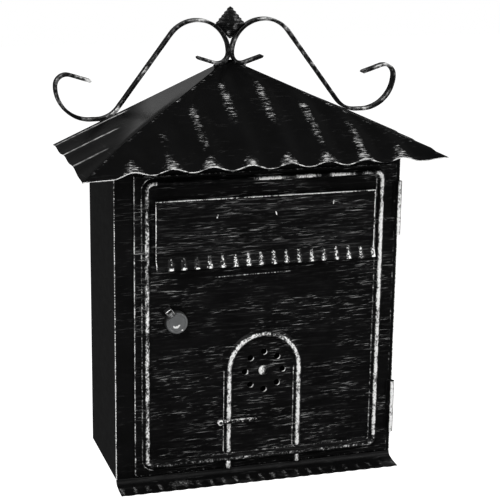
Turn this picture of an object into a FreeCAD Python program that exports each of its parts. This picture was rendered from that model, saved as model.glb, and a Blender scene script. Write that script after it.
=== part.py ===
"""Wall mounted mailbox in painted sheet steel.

The frame is in millimetres: +Z up, +X to the right seen from the front, and the wall is the plane y = 0, so
the box stands forward along -Y. The origin is the centre of the four wall-screw holes, on the back panel's
rear face. Heights in the sheet are counted from the underside of the box, whose own height is floor_level.
"""
import FreeCAD, Part

import math
import os

import Sketcher
from FreeCAD import Placement, Rotation, Vector

DIMENSIONS = {
    # casing
    "box_width": 260.0,
    "box_depth": 102.0,
    "floor_level": -160.0,
    "sheet_thick": 1.0,
    "part_gap": 0.1,
    "side_top": 293.5,
    "header_top": 295.0,
    "header_low": 262.0,
    "back_inset": 1.2,
    "flange_wide": 22.0,
    "flange_return": 8.0,
    "seam_flange": 12.0,
    "lip_high": 12.0,
    "apron_reach": 21.5,
    "apron_drop": 7.4,
    "apron_bend": 4.5,
    "apron_slope": 6.0,
    # wall screws
    "screw_span_x": 180.0,
    "screw_span_z": 200.0,
    "screw_hole": 6.0,
    # roof
    "eave_half": 162.5,
    "eave_front": 132.5,
    "eave_level": 284.0,
    "apex_level": 356.5,
    "roof_thick": 1.0,
    "roof_joint": 0.05,
    "front_wave_height": 1.9,
    "side_wave_height": 0.9,
    "front_waves": 9.5,
    "front_crest": 1.25,
    "side_waves": 3.2,
    "side_crest": 0.07,
    "wave_fade": 22.0,
    "corner_droop": 6.0,
    "droop_reach": 80.0,
    # scrolls and finial
    "bar_thick": 3.0,
    "bar_deep": 8.0,
    "scroll_lift": 362.4,
    "foot_run": 18.0,
    "foot_bend": 9.5,
    "foot_lean": 18.0,
    "shoulder_bend": 30.0,
    "scroll_fall": 53.0,
    "scroll_run": 81.0,
    "hollow_bend": 24.0,
    "hollow_run": 6.0,
    "curl_bend": 31.0,
    "tip_bend": 10.0,
    "tip_run": 20.0,
    "finial_low": 375.2,
    "finial_tall": 29.0,
    "finial_wide": 28.6,
    "finial_deep": 7.6,
    "finial_middle": 0.46,
    # door
    "door_left": -113.0,
    "door_right": 126.0,
    "door_low": 1.5,
    "door_top": 274.0,
    "door_gap": 0.4,
    "emblem_x": 5.0,
    "bead_radius": 3.4,
    "bead_half": 107.0,
    "bead_low": 10.5,
    "bead_top": 267.6,
    "bead_corner": 6.0,
    "arch_half": 32.5,
    "arch_spring": 93.6,
    "arch_foot": 2.5,
    "vent_level": 91.2,
    "vent_ring": 17.6,
    "vent_hole": 5.5,
    "vent_count": 8,
    "boss_radius": 4.6,
    "boss_high": 2.6,
    "slot_half": 88.0,
    "slot_low": 207.0,
    "slot_top": 240.0,
    # miniature door handle
    "handle_x": -36.0,
    "handle_level": 47.2,
    "handle_long": 34.0,
    "handle_bar": 3.8,
    "handle_knob": 3.2,
    "knob_proud": 0.6,
    # letter flap
    "flap_half": 100.0,
    "flap_top": 252.4,
    "flap_bend": 203.5,
    "flap_low": 192.3,
    "flap_flare": 5.5,
    "flap_thick": 1.0,
    "flap_axis_level": 250.6,
    "flap_axis_out": 3.6,
    "flap_rod": 1.6,
    "rod_clearance": 0.06,
    "flap_knuckle": 1.6,
    "flap_knuckle_long": 14.0,
    "flap_lug_x": 62.0,
    "flap_lug_wide": 3.0,
    # hinges
    "hinge_x": 128.4,
    "hinge_out": 3.1,
    "hinge_radius": 2.6,
    "pin_radius": 1.5,
    "pin_clearance": 0.06,
    "knuckle_long": 33.0,
    "knuckle_short": 16.0,
    "knuckle_gap": 0.4,
    "upper_hinge_low": 209.0,
    "lower_hinge_low": 21.0,
    "leaf_thick": 1.0,
    "leaf_edge": 123.6,
    "leaf_depth": 16.0,
    "leaf_bite": 0.5,
    "pin_recess": 3.0,
    # cam lock
    "lock_x": -76.4,
    "lock_level": 143.7,
    "lock_head": 10.0,
    "lock_head_high": 4.0,
    "lock_barrel": 8.0,
    "lock_bore": 6.0,
    "lock_inside": 8.7,
    "plug_clearance": 0.06,
    "plug_recess": 0.6,
    "key_wide": 1.2,
    "key_tall": 7.2,
    "key_deep": 6.0,
    "barrel_clearance": 0.05,
    "nut_across": 22.0,
    "nut_thick": 3.0,
    "washer_radius": 11.0,
    "washer_thick": 0.8,
    "cam_long": 45.0,
    "cam_wide": 14.0,
    "cam_thick": 1.8,
    "cam_hole": 2.0,
    "screw_head": 4.0,
    "screw_head_thick": 2.4,
    "screw_shank": 1.95,
    "cap_radius": 9.5,
    "cap_thick": 2.8,
    "cap_round": 0.6,
    "cap_out": 4.3,
    "cap_angle": 124.0,
    "cap_flat": 7.6,
    "cap_hinge_reach": 9.2,
    "cap_eye_wide": 2.2,
    "cap_room": 0.4,
    "cap_pin": 0.6,
    "tab_reach": 14.6,
    "tab_wide": 6.6,
}

doc = FreeCAD.newDocument("wall_mailbox")


def make_sheet():
    sheet = doc.addObject("Spreadsheet::Sheet", "Dims")
    for row, (alias, number) in enumerate(DIMENSIONS.items(), start=1):
        sheet.set(f"A{row}", alias)
        sheet.set(f"B{row}", str(number))
        sheet.setAlias(f"B{row}", alias)
    doc.recompute()
    return sheet


sheet = make_sheet()
SUBPARTS = []


class Size:
    """Reads a driving dimension from the sheet as a number."""

    def __getattr__(self, alias):
        return float(getattr(sheet, alias))


size = Size()


def dims(formula):
    """Writes a formula of sheet aliases the way an expression needs it."""
    words = formula.replace("(", " ( ").replace(")", " ) ").split()
    return " ".join("Dims." + word if word in DIMENSIONS else word for word in words)


def level(formula):
    """A height above the underside of the box, as a height in the model's frame."""
    return f"{formula} + floor_level"


# ---------------------------------------------------------------- sketch helpers


def new_body(label):
    body = doc.addObject("PartDesign::Body", label)
    body.Label = label
    SUBPARTS.append(body)
    return body


def new_sketch(body, name, role, lift="0"):
    """A sketch on one of the body's own origin planes, lifted along the plane's normal."""
    sketch = body.newObject("Sketcher::SketchObject", f"{body.Name}_{name}")
    plane = next(item for item in body.Origin.OriginFeatures if item.Role == role)
    sketch.AttachmentSupport = [(plane, "")]
    sketch.MapMode = "FlatFace"
    sketch.setExpression("AttachmentOffset.Base.z", dims(lift))
    return sketch


def number(sketch, formula):
    return float(sketch.evalExpression(dims(formula)))


def bind(sketch, constraint, formula):
    index = sketch.addConstraint(constraint)
    sketch.setExpression(f"Constraints[{index}]", dims(formula))


def pin_point(sketch, geometry, end, across, up):
    """Holds one point of the sketch at two distances from its origin."""
    bind(sketch, Sketcher.Constraint("DistanceX", -1, 1, geometry, end, number(sketch, across)), across)
    bind(sketch, Sketcher.Constraint("DistanceY", -1, 1, geometry, end, number(sketch, up)), up)


def polygon(sketch, corners):
    """A closed outline of straight edges through corners given as pairs of formulas."""
    places = [Vector(number(sketch, across), number(sketch, up), 0) for across, up in corners]
    edges = []
    for start, finish in zip(places, places[1:] + places[:1]):
        edges.append(sketch.addGeometry(Part.LineSegment(start, finish)))
    for edge, following in zip(edges, edges[1:] + edges[:1]):
        sketch.addConstraint(Sketcher.Constraint("Coincident", edge, 2, following, 1))
    for edge, (across, up) in zip(edges, corners):
        pin_point(sketch, edge, 1, across, up)
    return edges


def rectangle(sketch, left, right, low, high):
    return polygon(sketch, [(left, low), (right, low), (right, high), (left, high)])


def circle(sketch, across, up, radius):
    centre = Vector(number(sketch, across), number(sketch, up), 0)
    round_edge = sketch.addGeometry(Part.Circle(centre, Vector(0, 0, 1), number(sketch, radius)))
    pin_point(sketch, round_edge, 3, across, up)
    bind(sketch, Sketcher.Constraint("Radius", round_edge, number(sketch, radius)), radius)
    return round_edge


def extrude(body, kind, sketch, length, name, midplane=False, reverse=False):
    """A Pad or Pocket whose length follows the sheet."""
    feature = body.newObject(f"PartDesign::{kind}", f"{body.Name}_{name}")
    feature.Profile = sketch
    feature.setExpression("Length", dims(length))
    feature.Midplane = midplane
    feature.Reversed = reverse
    return feature


def pocket(body, sketch, length, name, reverse=False):
    """A Pocket that is known to take material away."""
    doc.recompute()
    before = body.Shape.Volume
    feature = extrude(body, "Pocket", sketch, length, name, reverse=reverse)
    doc.recompute()
    if body.Shape.Volume >= before:
        raise ValueError(f"{feature.Name} cut nothing")
    return feature


def plate(label, sketch_name, role, lift, outline, thickness, midplane=False, reverse=False):
    """A flat plate: one outline on an origin plane, padded."""
    body = new_body(label)
    sketch = new_sketch(body, sketch_name, role, lift)
    polygon(sketch, outline)
    extrude(body, "Pad", sketch, thickness, "pad", midplane=midplane, reverse=reverse)
    return body


def shaped(label, shape, place=Placement()):
    """A sub-part whose shape is worked out from the sheet with Part's own functions."""
    feature = doc.addObject("Part::Feature", label)
    feature.Label = label
    feature.Shape = shape
    feature.Placement = place
    SUBPARTS.append(feature)
    return feature


# ---------------------------------------------------------------- casing

FRONT = "box_depth"
INNER_HALF = "box_width / 2 - sheet_thick"


def make_back_panel():
    """Back panel: a rectangle with a low gable under the roof, and four screw holes."""
    half = "box_width / 2 - back_inset"
    gable = "apex_level - back_inset * 3"
    body = plate("back_panel", "outline", "XZ_Plane", "0", [
        (f"0 - ( {half} )", "floor_level + sheet_thick"),
        (half, "floor_level + sheet_thick"),
        (half, level("side_top")),
        ("0", level(gable)),
        (f"0 - ( {half} )", level("side_top")),
    ], "sheet_thick")
    holes = new_sketch(body, "screw_holes", "XZ_Plane")
    for side in ("-", ""):
        for end in ("-", ""):
            circle(holes, f"{side}1 * screw_span_x / 2", f"{end}1 * screw_span_z / 2", "screw_hole / 2")
    pocket(body, holes, "sheet_thick * 3", "holes", reverse=True)


def make_side_panel(label, sign):
    """Side panel folded from one sheet: back seam flange, side, front flange and return lip."""
    outer = f"{sign} * box_width / 2"
    inner = f"{sign} * ( {INNER_HALF} )"
    lip = f"{sign} * ( box_width / 2 - flange_wide )"
    lip_inner = f"{sign} * ( box_width / 2 - flange_wide + sheet_thick )"
    seam = f"{sign} * ( {INNER_HALF} - seam_flange )"
    front_inner = "sheet_thick - box_depth"
    plate(label, "section", "XY_Plane", "floor_level", [
        (outer, f"0 - {FRONT}"),
        (outer, "0"),
        (inner, "0"),
        (inner, "0 - sheet_thick - part_gap"),
        (seam, "0 - sheet_thick - part_gap"),
        (seam, "0 - sheet_thick * 2 - part_gap"),
        (inner, "0 - sheet_thick * 2 - part_gap"),
        (inner, front_inner),
        (lip_inner, front_inner),
        (lip_inner, "flange_return - box_depth"),
        (lip, "flange_return - box_depth"),
        (lip, f"0 - {FRONT}"),
    ], "side_top")


def make_bottom_panel():
    """Bottom panel, notched round the sides' flanges, reaching under the back panel, with an upturned front lip."""
    front = "0 - box_depth"
    between = "box_width / 2 - flange_wide - part_gap"
    beyond = "box_width / 2 - flange_wide + sheet_thick + part_gap"
    wall = f"{INNER_HALF} - part_gap"
    notch = f"{front} + flange_return + part_gap"
    back = "0 - sheet_thick * 2 - part_gap * 2"
    seam_end = f"{INNER_HALF} - seam_flange - part_gap"
    right = [
        (between, front),
        (between, notch),
        (beyond, notch),
        (beyond, f"{front} + sheet_thick + part_gap"),
        (wall, f"{front} + sheet_thick + part_gap"),
        (wall, back),
        (seam_end, back),
        (seam_end, "0 - part_gap"),
    ]
    left = [(f"0 - ( {across} )", along) for across, along in reversed(right)]
    body = plate("bottom_panel", "floor", "XY_Plane", "floor_level", right + left, "sheet_thick")
    doc.recompute()
    lip = new_sketch(body, "lip", "XZ_Plane", "box_depth - sheet_thick")
    rectangle(lip, f"0 - ( {between} )", between, "floor_level", "floor_level + lip_high")
    extrude(body, "Pad", lip, "sheet_thick", "lip_pad")


def make_front_header():
    """Header strip across the top of the opening, between the side flanges, with a stiffening fold."""
    front = "0 - box_depth"
    plate("front_header", "section", "YZ_Plane", "0", [
        (front, level("header_low")),
        (front, level("header_top")),
        (f"{front} + sheet_thick", level("header_top")),
        (f"{front} + sheet_thick", level("header_low + sheet_thick")),
        (f"{front} + flange_return", level("header_low + sheet_thick")),
        (f"{front} + flange_return", level("header_low")),
    ], "( box_width / 2 - flange_wide - part_gap ) * 2", midplane=True)


def make_base_apron():
    """Apron under the door: it drops from the bottom fold, then flares forward."""
    body = new_body("base_apron")
    front = size.box_depth
    low = size.floor_level
    thick = size.sheet_thick
    bend = size.apron_bend
    slope = math.radians(size.apron_slope)
    tip = Vector(-front - size.apron_reach, low - size.apron_drop + thick, 0)
    centre = Vector(-front - bend, low, 0)
    foot = centre + Vector(math.sin(slope), -math.cos(slope), 0) * bend
    middle_angle = math.radians(-45.0) - slope / 2
    middle = centre + Vector(math.cos(middle_angle), math.sin(middle_angle), 0) * bend

    def outward(point):
        return centre + (point - centre) * ((bend + thick) / bend)

    start = centre + Vector(bend, 0, 0)
    down = Vector(math.sin(slope), -math.cos(slope), 0) * thick
    sketch = new_sketch(body, "section", "YZ_Plane")
    sketch.addGeometry([
        Part.Arc(start, middle, foot),
        Part.LineSegment(foot, tip),
        Part.LineSegment(tip, tip + down),
        Part.LineSegment(tip + down, outward(foot)),
        Part.Arc(outward(foot), outward(middle), outward(start)),
        Part.LineSegment(outward(start), start),
    ])
    extrude(body, "Pad", sketch, "box_width", "pad", midplane=True)


# ---------------------------------------------------------------- roof


def smooth(value):
    """Smooth step from 0 to 1 as the value goes from 0 to 1."""
    value = min(max(value, 0.0), 1.0)
    return value * value * (3 - 2 * value)


def roof_height(x, y, face):
    """Height of the roof's outer skin over a plan position, on the front face or a side face."""
    across = abs(x) / size.eave_half
    out = -y / size.eave_front
    rise = size.apex_level - size.eave_level
    if face == "front":
        plane = size.apex_level - rise * out
        phase = size.front_waves * (1 + x / size.eave_half) / 2 - size.front_crest
        wave_height = size.front_wave_height
        waving = across < (size.front_waves - 1.5) / size.front_waves
        hip_distance = (out - across) * size.eave_front
    else:
        plane = size.apex_level - rise * across
        phase = size.side_waves * (out - size.side_crest)
        wave_height = size.side_wave_height
        waving = phase < 2.5
        hip_distance = (across - out) * size.eave_half
    wave = wave_height * math.cos(2 * math.pi * phase) if waving else -wave_height
    wave = wave * smooth(hip_distance / size.wave_fade)
    corner = math.hypot(x + size.eave_half, y + size.eave_front)
    droop = size.corner_droop * max(0.0, 1 - corner / size.droop_reach) ** 2
    return plane + wave - droop + size.floor_level


def roof_skin(corner_a, corner_b, face, drop, along, up):
    """A smooth surface over one triangle of the roof, from its eave to just short of the apex."""
    tip = 0.985
    rows = []
    for row in range(up + 1):
        rise = tip * row / up
        line = []
        for column in range(along + 1):
            place = corner_a + (corner_b - corner_a) * (column / along)
            place = place * (1 - rise)
            line.append(Vector(place.x, place.y, roof_height(place.x, place.y, face) - drop))
        rows.append(line)
    surface = Part.BSplineSurface()
    surface.interpolate(rows)
    return surface.toShape()


def roof_panel(label, corner_a, corner_b, face, along, up):
    """Roof panel: upper and lower skins, closed by four narrow ruled edges."""
    upper = roof_skin(corner_a, corner_b, face, 0.0, along, up)
    lower = roof_skin(corner_a, corner_b, face, size.roof_thick, along, up)
    faces = [upper, lower]
    for top_edge in upper.Edges:
        twin = min(lower.Edges, key=lambda edge: edge.CenterOfMass.distanceToPoint(top_edge.CenterOfMass))
        faces.append(Part.makeRuledSurface(top_edge, twin))
    shell = Part.makeShell(faces)
    shell.sewShape()
    solid = Part.makeSolid(shell)
    if solid.Volume < 0:
        solid.reverse()
    shaped(label, solid)


def make_roof():
    """Three corrugated panels that meet at two hips and lean against the wall."""
    half = size.eave_half
    out = size.eave_front
    front_left = Vector(-half, -out, 0)
    front_right = Vector(half, -out, 0)
    inward = Vector(size.roof_joint, 0, 0)
    behind = Vector(0, size.roof_joint, 0)
    roof_panel("roof_front_panel", front_left + inward, front_right - inward, "front", along=76, up=30)
    roof_panel("roof_left_panel", front_left + behind, Vector(-half, 0, 0), "side", along=30, up=24)
    roof_panel("roof_right_panel", front_right + behind, Vector(half, 0, 0), "side", along=30, up=24)


# ---------------------------------------------------------------- scrolls and finial


def scroll_line():
    """Centre line of the right-hand scroll in the wall plane, as straight runs and round turns.

    It starts at the tip of the foot. A step is a run, or a radius and a turn in degrees, left positive.
    """
    foot_run = size.foot_run
    foot_bend = size.foot_bend
    steps = [
        (foot_run,),
        (foot_bend, -90.0 - size.foot_lean),
        (size.shoulder_bend, -90.0 - size.scroll_fall),
        (size.scroll_run,),
        (size.hollow_bend, size.scroll_fall),
        (size.hollow_run,),
        (size.curl_bend, 90.0),
        (size.tip_bend, 90.0 + size.foot_lean),
        (size.tip_run,),
    ]
    lean = math.radians(size.foot_lean)
    heading = math.pi + lean
    upright = size.bar_thick / 2 + size.part_gap
    place = Vector(upright + foot_bend + foot_bend * math.sin(lean) + foot_run * math.cos(lean), 0,
                   foot_run * math.sin(lean) - foot_bend * math.cos(lean))
    edges = []
    for step in steps:
        ahead = Vector(math.cos(heading), 0, math.sin(heading))
        if len(step) == 1:
            finish = place + ahead * step[0]
            edges.append(Part.LineSegment(place, finish).toShape())
            place = finish
            continue
        radius, turn = step
        side = math.copysign(1.0, turn)
        centre = place + Vector(-ahead.z, 0, ahead.x) * (side * radius)

        def on_arc(part):
            angle = math.radians(turn * part)
            arm = place - centre
            return centre + Vector(arm.x * math.cos(angle) - arm.z * math.sin(angle), 0,
                                   arm.x * math.sin(angle) + arm.z * math.cos(angle))

        finish = on_arc(1.0)
        edges.append(Part.Arc(place, on_arc(0.5), finish).toShape())
        place = finish
        heading += math.radians(turn)
    return Part.Wire(edges)


def make_scrolls():
    """Two mirrored scrolls of flat bar with rounded ends, standing on edge in the wall plane."""
    face = scroll_line().makeOffset2D(size.bar_thick / 2, 0, True, False)
    pipe = face.extrude(Vector(0, -size.bar_deep, 0))
    place = Placement(Vector(0, 0, size.scroll_lift + size.floor_level), Rotation())
    shaped("right_scroll", pipe, place)
    shaped("left_scroll", pipe.mirror(Vector(0, 0, 0), Vector(1, 0, 0)), place)


def make_scroll_welds():
    """Weld beads: between the two uprights, and under each foot on the roof's peak."""
    middle = Vector(0, -size.bar_deep / 2, size.scroll_lift + size.floor_level)
    upright_bead = (1.6, Vector(0, 0, 3.0), Vector(0.9, 1.3, 3.4))
    left_bead = (1.9, Vector(-12.0, 0, -11.6), Vector(2.2, 1.3, 1.0))
    right_bead = (1.9, Vector(12.0, 0, -11.6), Vector(2.2, 1.3, 1.0))
    beads = []
    for radius, offset, stretch in (upright_bead, left_bead, right_bead):
        scaling = FreeCAD.Matrix()
        scaling.scale(stretch)
        bead = Part.makeSphere(radius).transformGeometry(scaling)
        bead.translate(middle + offset)
        beads.append(bead)
    shaped("scroll_weld_beads", Part.makeCompound(beads))


def make_finial():
    """Finial: a flattened diamond turned in tiers, standing in the fork of the scrolls."""
    below = size.finial_tall * size.finial_middle
    above = size.finial_tall - below
    middle = size.finial_low + below
    tip_share = 0.12
    tiers = []
    for count, reach in ((5, above), (7, -below)):
        step = reach / count
        for index in range(count):
            share = 1 - (index + tip_share) / count
            ring = Part.Ellipse(Vector(0, 0, 0), size.finial_wide / 2 * share, size.finial_deep / 2 * share)
            disc = Part.Face(Part.Wire(ring.toShape())).extrude(Vector(0, 0, step))
            disc.translate(Vector(0, -size.bar_deep / 2, middle + index * step + size.floor_level))
            tiers.append(disc)
    shaped("finial", tiers[0].multiFuse(tiers[1:]).removeSplitter())


# ---------------------------------------------------------------- door

DOOR_BACK = "box_depth + door_gap"
DOOR_FRONT = "box_depth + door_gap + sheet_thick"


def rounded_path(body):
    """Centre line of the embossed border: a rectangle with round corners."""
    path = new_sketch(body, "border_line", "XZ_Plane", DOOR_FRONT)
    left = size.emblem_x - size.bead_half
    right = size.emblem_x + size.bead_half
    low = size.bead_low + size.floor_level
    high = size.bead_top + size.floor_level
    bend = size.bead_corner
    quarter = math.pi / 2
    up = Vector(0, 0, 1)
    corners = [(right, high, 0), (left, high, 1), (left, low, 2), (right, low, 3)]
    arcs = []
    for x, z, turn in corners:
        inward = Vector(-math.copysign(bend, x - size.emblem_x), math.copysign(bend, low + 1 - z), 0)
        centre = Vector(x, z, 0) + inward
        arcs.append(Part.ArcOfCircle(Part.Circle(centre, up, bend), turn * quarter, (turn + 1) * quarter))
    for arc, following in zip(arcs, arcs[1:] + arcs[:1]):
        path.addGeometry(arc)
        path.addGeometry(Part.LineSegment(arc.EndPoint, following.StartPoint))
    return path


def arch_path(body):
    """Centre line of the embossed arch: two legs and a half circle."""
    path = new_sketch(body, "arch_line", "XZ_Plane", DOOR_FRONT)
    left = Vector(size.emblem_x - size.arch_half, size.arch_spring + size.floor_level, 0)
    right = Vector(size.emblem_x + size.arch_half, size.arch_spring + size.floor_level, 0)
    foot = Vector(0, size.arch_foot - size.arch_spring, 0)
    centre = (left + right) / 2
    path.addGeometry(Part.LineSegment(right + foot, right))
    path.addGeometry(Part.ArcOfCircle(Part.Circle(centre, Vector(0, 0, 1), size.arch_half), 0, math.pi))
    path.addGeometry(Part.LineSegment(left, left + foot))
    return path


def bead(body, name, path, across, height, kind, radius):
    """A half-round rib (additive) or the groove behind it (subtractive) along a path on the door's face."""
    profile = new_sketch(body, f"{name}_profile", "XY_Plane", height)
    centre = Vector(number(profile, across), -number(profile, DOOR_FRONT), 0)
    round_edge = profile.addGeometry(Part.Circle(centre, Vector(0, 0, 1), number(profile, radius)))
    bind(profile, Sketcher.Constraint("Radius", round_edge, number(profile, radius)), radius)
    pipe = body.newObject(f"PartDesign::{kind}", f"{body.Name}_{name}")
    pipe.Profile = profile
    pipe.Spine = (path, [f"Edge{index + 1}" for index in range(path.GeometryCount)])
    return pipe


def make_door_panel():
    """Door sheet with embossed border and arch, letter slot, vent holes and lock hole."""
    body = new_body("door_panel")
    outline = new_sketch(body, "outline", "XZ_Plane", DOOR_BACK)
    rectangle(outline, "door_left", "door_right", level("door_low"), level("door_top"))
    extrude(body, "Pad", outline, "sheet_thick", "sheet")
    doc.recompute()
    border = rounded_path(body)
    arch = arch_path(body)
    border_side = "emblem_x + bead_half"
    border_middle = level("bead_low + ( bead_top - bead_low ) / 2")
    arch_leg = "emblem_x + arch_half"
    arch_end = level("arch_foot")
    hollow = "bead_radius - sheet_thick"
    bead(body, "border_rib", border, border_side, border_middle, "AdditivePipe", "bead_radius")
    bead(body, "arch_rib", arch, arch_leg, arch_end, "AdditivePipe", "bead_radius")
    doc.recompute()
    bead(body, "border_groove", border, border_side, border_middle, "SubtractivePipe", hollow)
    bead(body, "arch_groove", arch, arch_leg, arch_end, "SubtractivePipe", hollow)
    doc.recompute()
    behind = new_sketch(body, "behind", "XZ_Plane", "box_depth - 10")
    rectangle(behind, "door_left - 5", "door_right + 5", level("door_low - 5"), level("door_top + 5"))
    pocket(body, behind, "door_gap + 10", "trim_back", reverse=True)
    slot = new_sketch(body, "letter_slot", "XZ_Plane", DOOR_BACK)
    rectangle(slot, "emblem_x - slot_half", "emblem_x + slot_half", level("slot_low"), level("slot_top"))
    circle(slot, "lock_x", level("lock_level"), "lock_barrel + barrel_clearance")
    for index in range(int(size.vent_count)):
        angle = 2 * math.pi * index / size.vent_count
        circle(slot, f"emblem_x + vent_ring * {math.cos(angle):.6f}",
               level(f"vent_level + vent_ring * {math.sin(angle):.6f}"), "vent_hole / 2")
    pocket(body, slot, "sheet_thick * 4", "openings", reverse=True)


def make_vent_boss():
    """Domed boss in the middle of the vent holes: the cap of a ball that sinks into the door's face."""
    ball_radius = "( boss_radius * boss_radius + boss_high * boss_high ) / ( 2 * boss_high )"
    ball = doc.addObject("Part::Sphere", "vent_boss_ball")
    ball.setExpression("Radius", dims(ball_radius))
    ball.setExpression("Placement.Base.x", dims("emblem_x"))
    ball.setExpression("Placement.Base.y", dims(f"{ball_radius} - boss_high - ( {DOOR_FRONT} )"))
    ball.setExpression("Placement.Base.z", dims(level("vent_level")))
    room = doc.addObject("Part::Cylinder", "vent_boss_room")
    room.setExpression("Radius", dims("boss_radius + 1"))
    room.setExpression("Height", dims("boss_high + 1"))
    room.Placement.Rotation = Rotation(Vector(1, 0, 0), 90)
    room.setExpression("Placement.Base.x", dims("emblem_x"))
    room.setExpression("Placement.Base.y", dims(f"0 - ( {DOOR_FRONT} )"))
    room.setExpression("Placement.Base.z", dims(level("vent_level")))
    boss = doc.addObject("Part::Common", "vent_boss")
    boss.Base = ball
    boss.Tool = room
    SUBPARTS.append(boss)


def make_door_handle():
    """Miniature door handle: a short bar across the arch's left leg with a round knob at its end."""
    body = new_body("door_handle")
    stand = f"{DOOR_FRONT} + bead_radius"
    bar = new_sketch(body, "bar", "XZ_Plane", stand)
    rectangle(bar, "handle_x", "handle_x + handle_long", level("handle_level - handle_bar / 2"),
              level("handle_level + handle_bar / 2"))
    extrude(body, "Pad", bar, "handle_bar", "bar_pad")
    doc.recompute()
    knob = new_sketch(body, "knob", "XZ_Plane", DOOR_FRONT)
    circle(knob, "handle_x", level("handle_level"), "handle_knob")
    extrude(body, "Pad", knob, "bead_radius + handle_bar + knob_proud", "knob_pad")


# ---------------------------------------------------------------- letter flap


def make_letter_flap():
    """Flap plate: flat, then flared outward along its lower edge."""
    out = "( box_depth + flap_axis_out + flap_knuckle + flap_thick )"
    plate("letter_flap", "section", "YZ_Plane", "emblem_x", [
        (f"0 - {out} + flap_thick", level("flap_top")),
        (f"0 - {out}", level("flap_top")),
        (f"0 - {out}", level("flap_bend")),
        (f"0 - {out} - flap_flare", level("flap_low")),
        (f"0 - {out} - flap_flare + flap_thick", level("flap_low - 0.4")),
        (f"0 - {out} + flap_thick", level("flap_bend - 0.3")),
    ], "flap_half * 2", midplane=True)


def lengthwise_tube(body, name, lift, long, outer, inner):
    """A tube along X, centred on a stretch of the flap's hinge axis."""
    ring = new_sketch(body, name, "YZ_Plane", lift)
    circle(ring, "0 - box_depth - flap_axis_out", level("flap_axis_level"), outer)
    if inner:
        circle(ring, "0 - box_depth - flap_axis_out", level("flap_axis_level"), inner)
    extrude(body, "Pad", ring, long, f"{name}_pad", midplane=True)


def make_flap_knuckle(label, side):
    """Knuckle curled round the rod behind the flap."""
    body = new_body(label)
    place = f"emblem_x {side} ( flap_lug_x - flap_lug_wide - flap_knuckle_long / 2 )"
    bore = "flap_rod / 2 + rod_clearance"
    lengthwise_tube(body, "ring", place, "flap_knuckle_long", "flap_knuckle - 0.02", bore)


def make_flap_lug(label, side):
    """Lug on the door's face that holds one end of the rod."""
    body = new_body(label)
    place = f"emblem_x {side} flap_lug_x"
    lengthwise_tube(body, "eye", place, "flap_lug_wide", "flap_knuckle - 0.2", "flap_rod / 2")
    doc.recompute()
    foot = new_sketch(body, "foot", "YZ_Plane", place)
    rectangle(foot, "0 - box_depth - flap_axis_out + flap_rod / 2 + part_gap", f"0 - ( {DOOR_FRONT} )",
              level("flap_axis_level - 4"), level("flap_axis_level + 1"))
    extrude(body, "Pad", foot, "flap_lug_wide", "foot_pad", midplane=True)


def make_flap_rod():
    """Hinge rod through the lugs and knuckles."""
    body = new_body("flap_rod")
    lengthwise_tube(body, "wire", "emblem_x", "( flap_lug_x + flap_lug_wide ) * 2", "flap_rod / 2", None)


# ---------------------------------------------------------------- hinges


def upright(body, name, low, long, outer, inner=None):
    """A round bar or tube standing on the door's hinge axis."""
    ring = new_sketch(body, name, "XY_Plane", low)
    circle(ring, "hinge_x", "0 - box_depth - hinge_out", outer)
    if inner:
        circle(ring, "hinge_x", "0 - box_depth - hinge_out", inner)
    extrude(body, "Pad", ring, long, f"{name}_pad")


def make_hinge(name):
    """Lift-off hinge: the frame's short knuckle carries a pin, and the door's long knuckle turns on it."""
    low = level(f"{name}_hinge_low")
    top = f"{low} + knuckle_short + knuckle_gap"
    frame = new_body(f"{name}_hinge_frame_leaf")
    upright(frame, "knuckle", low, "knuckle_short", "hinge_radius", "pin_radius")
    doc.recompute()
    leaf = new_sketch(frame, "leaf", "XY_Plane", low)
    polygon(leaf, [
        ("box_width / 2", "0 - box_depth - hinge_out"),
        ("box_width / 2 + leaf_thick", "0 - box_depth - hinge_out"),
        ("box_width / 2 + leaf_thick", "leaf_depth - box_depth"),
        ("box_width / 2", "leaf_depth - box_depth"),
    ])
    extrude(frame, "Pad", leaf, "knuckle_short", "leaf_pad")
    door = new_body(f"{name}_hinge_door_leaf")
    upright(door, "knuckle", top, "knuckle_long", "hinge_radius", "pin_radius + pin_clearance")
    doc.recompute()
    wing = new_sketch(door, "leaf", "XY_Plane", top)
    polygon(wing, [
        ("leaf_edge", f"0 - ( {DOOR_FRONT} ) - leaf_thick"),
        ("hinge_x - pin_radius - leaf_bite", f"0 - ( {DOOR_FRONT} ) - leaf_thick"),
        ("hinge_x - pin_radius - leaf_bite", f"0 - ( {DOOR_FRONT} )"),
        ("leaf_edge", f"0 - ( {DOOR_FRONT} )"),
    ])
    extrude(door, "Pad", wing, "knuckle_long", "leaf_pad")
    pin = new_body(f"{name}_hinge_pin")
    upright(pin, "pin", low, "knuckle_short + knuckle_gap + knuckle_long - pin_recess", "pin_radius")


# ---------------------------------------------------------------- cam lock

LOCK_Z = level("lock_level")


def make_lock_body():
    """Lock body: round head on the door's face and a hollow barrel through it."""
    body = new_body("lock_body")
    head = new_sketch(body, "head", "XZ_Plane", DOOR_FRONT)
    circle(head, "lock_x", LOCK_Z, "lock_head")
    extrude(body, "Pad", head, "lock_head_high", "head_pad")
    doc.recompute()
    barrel = new_sketch(body, "barrel", "XZ_Plane", "box_depth - lock_inside")
    circle(barrel, "lock_x", LOCK_Z, "lock_barrel")
    extrude(body, "Pad", barrel, "lock_inside + door_gap + sheet_thick", "barrel_pad")
    doc.recompute()
    bore = new_sketch(body, "bore", "XZ_Plane", "box_depth - lock_inside - 1")
    circle(bore, "lock_x", LOCK_Z, "lock_bore")
    pocket(body, bore, "lock_inside + lock_head_high + 6", "bore_cut", reverse=True)


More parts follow.
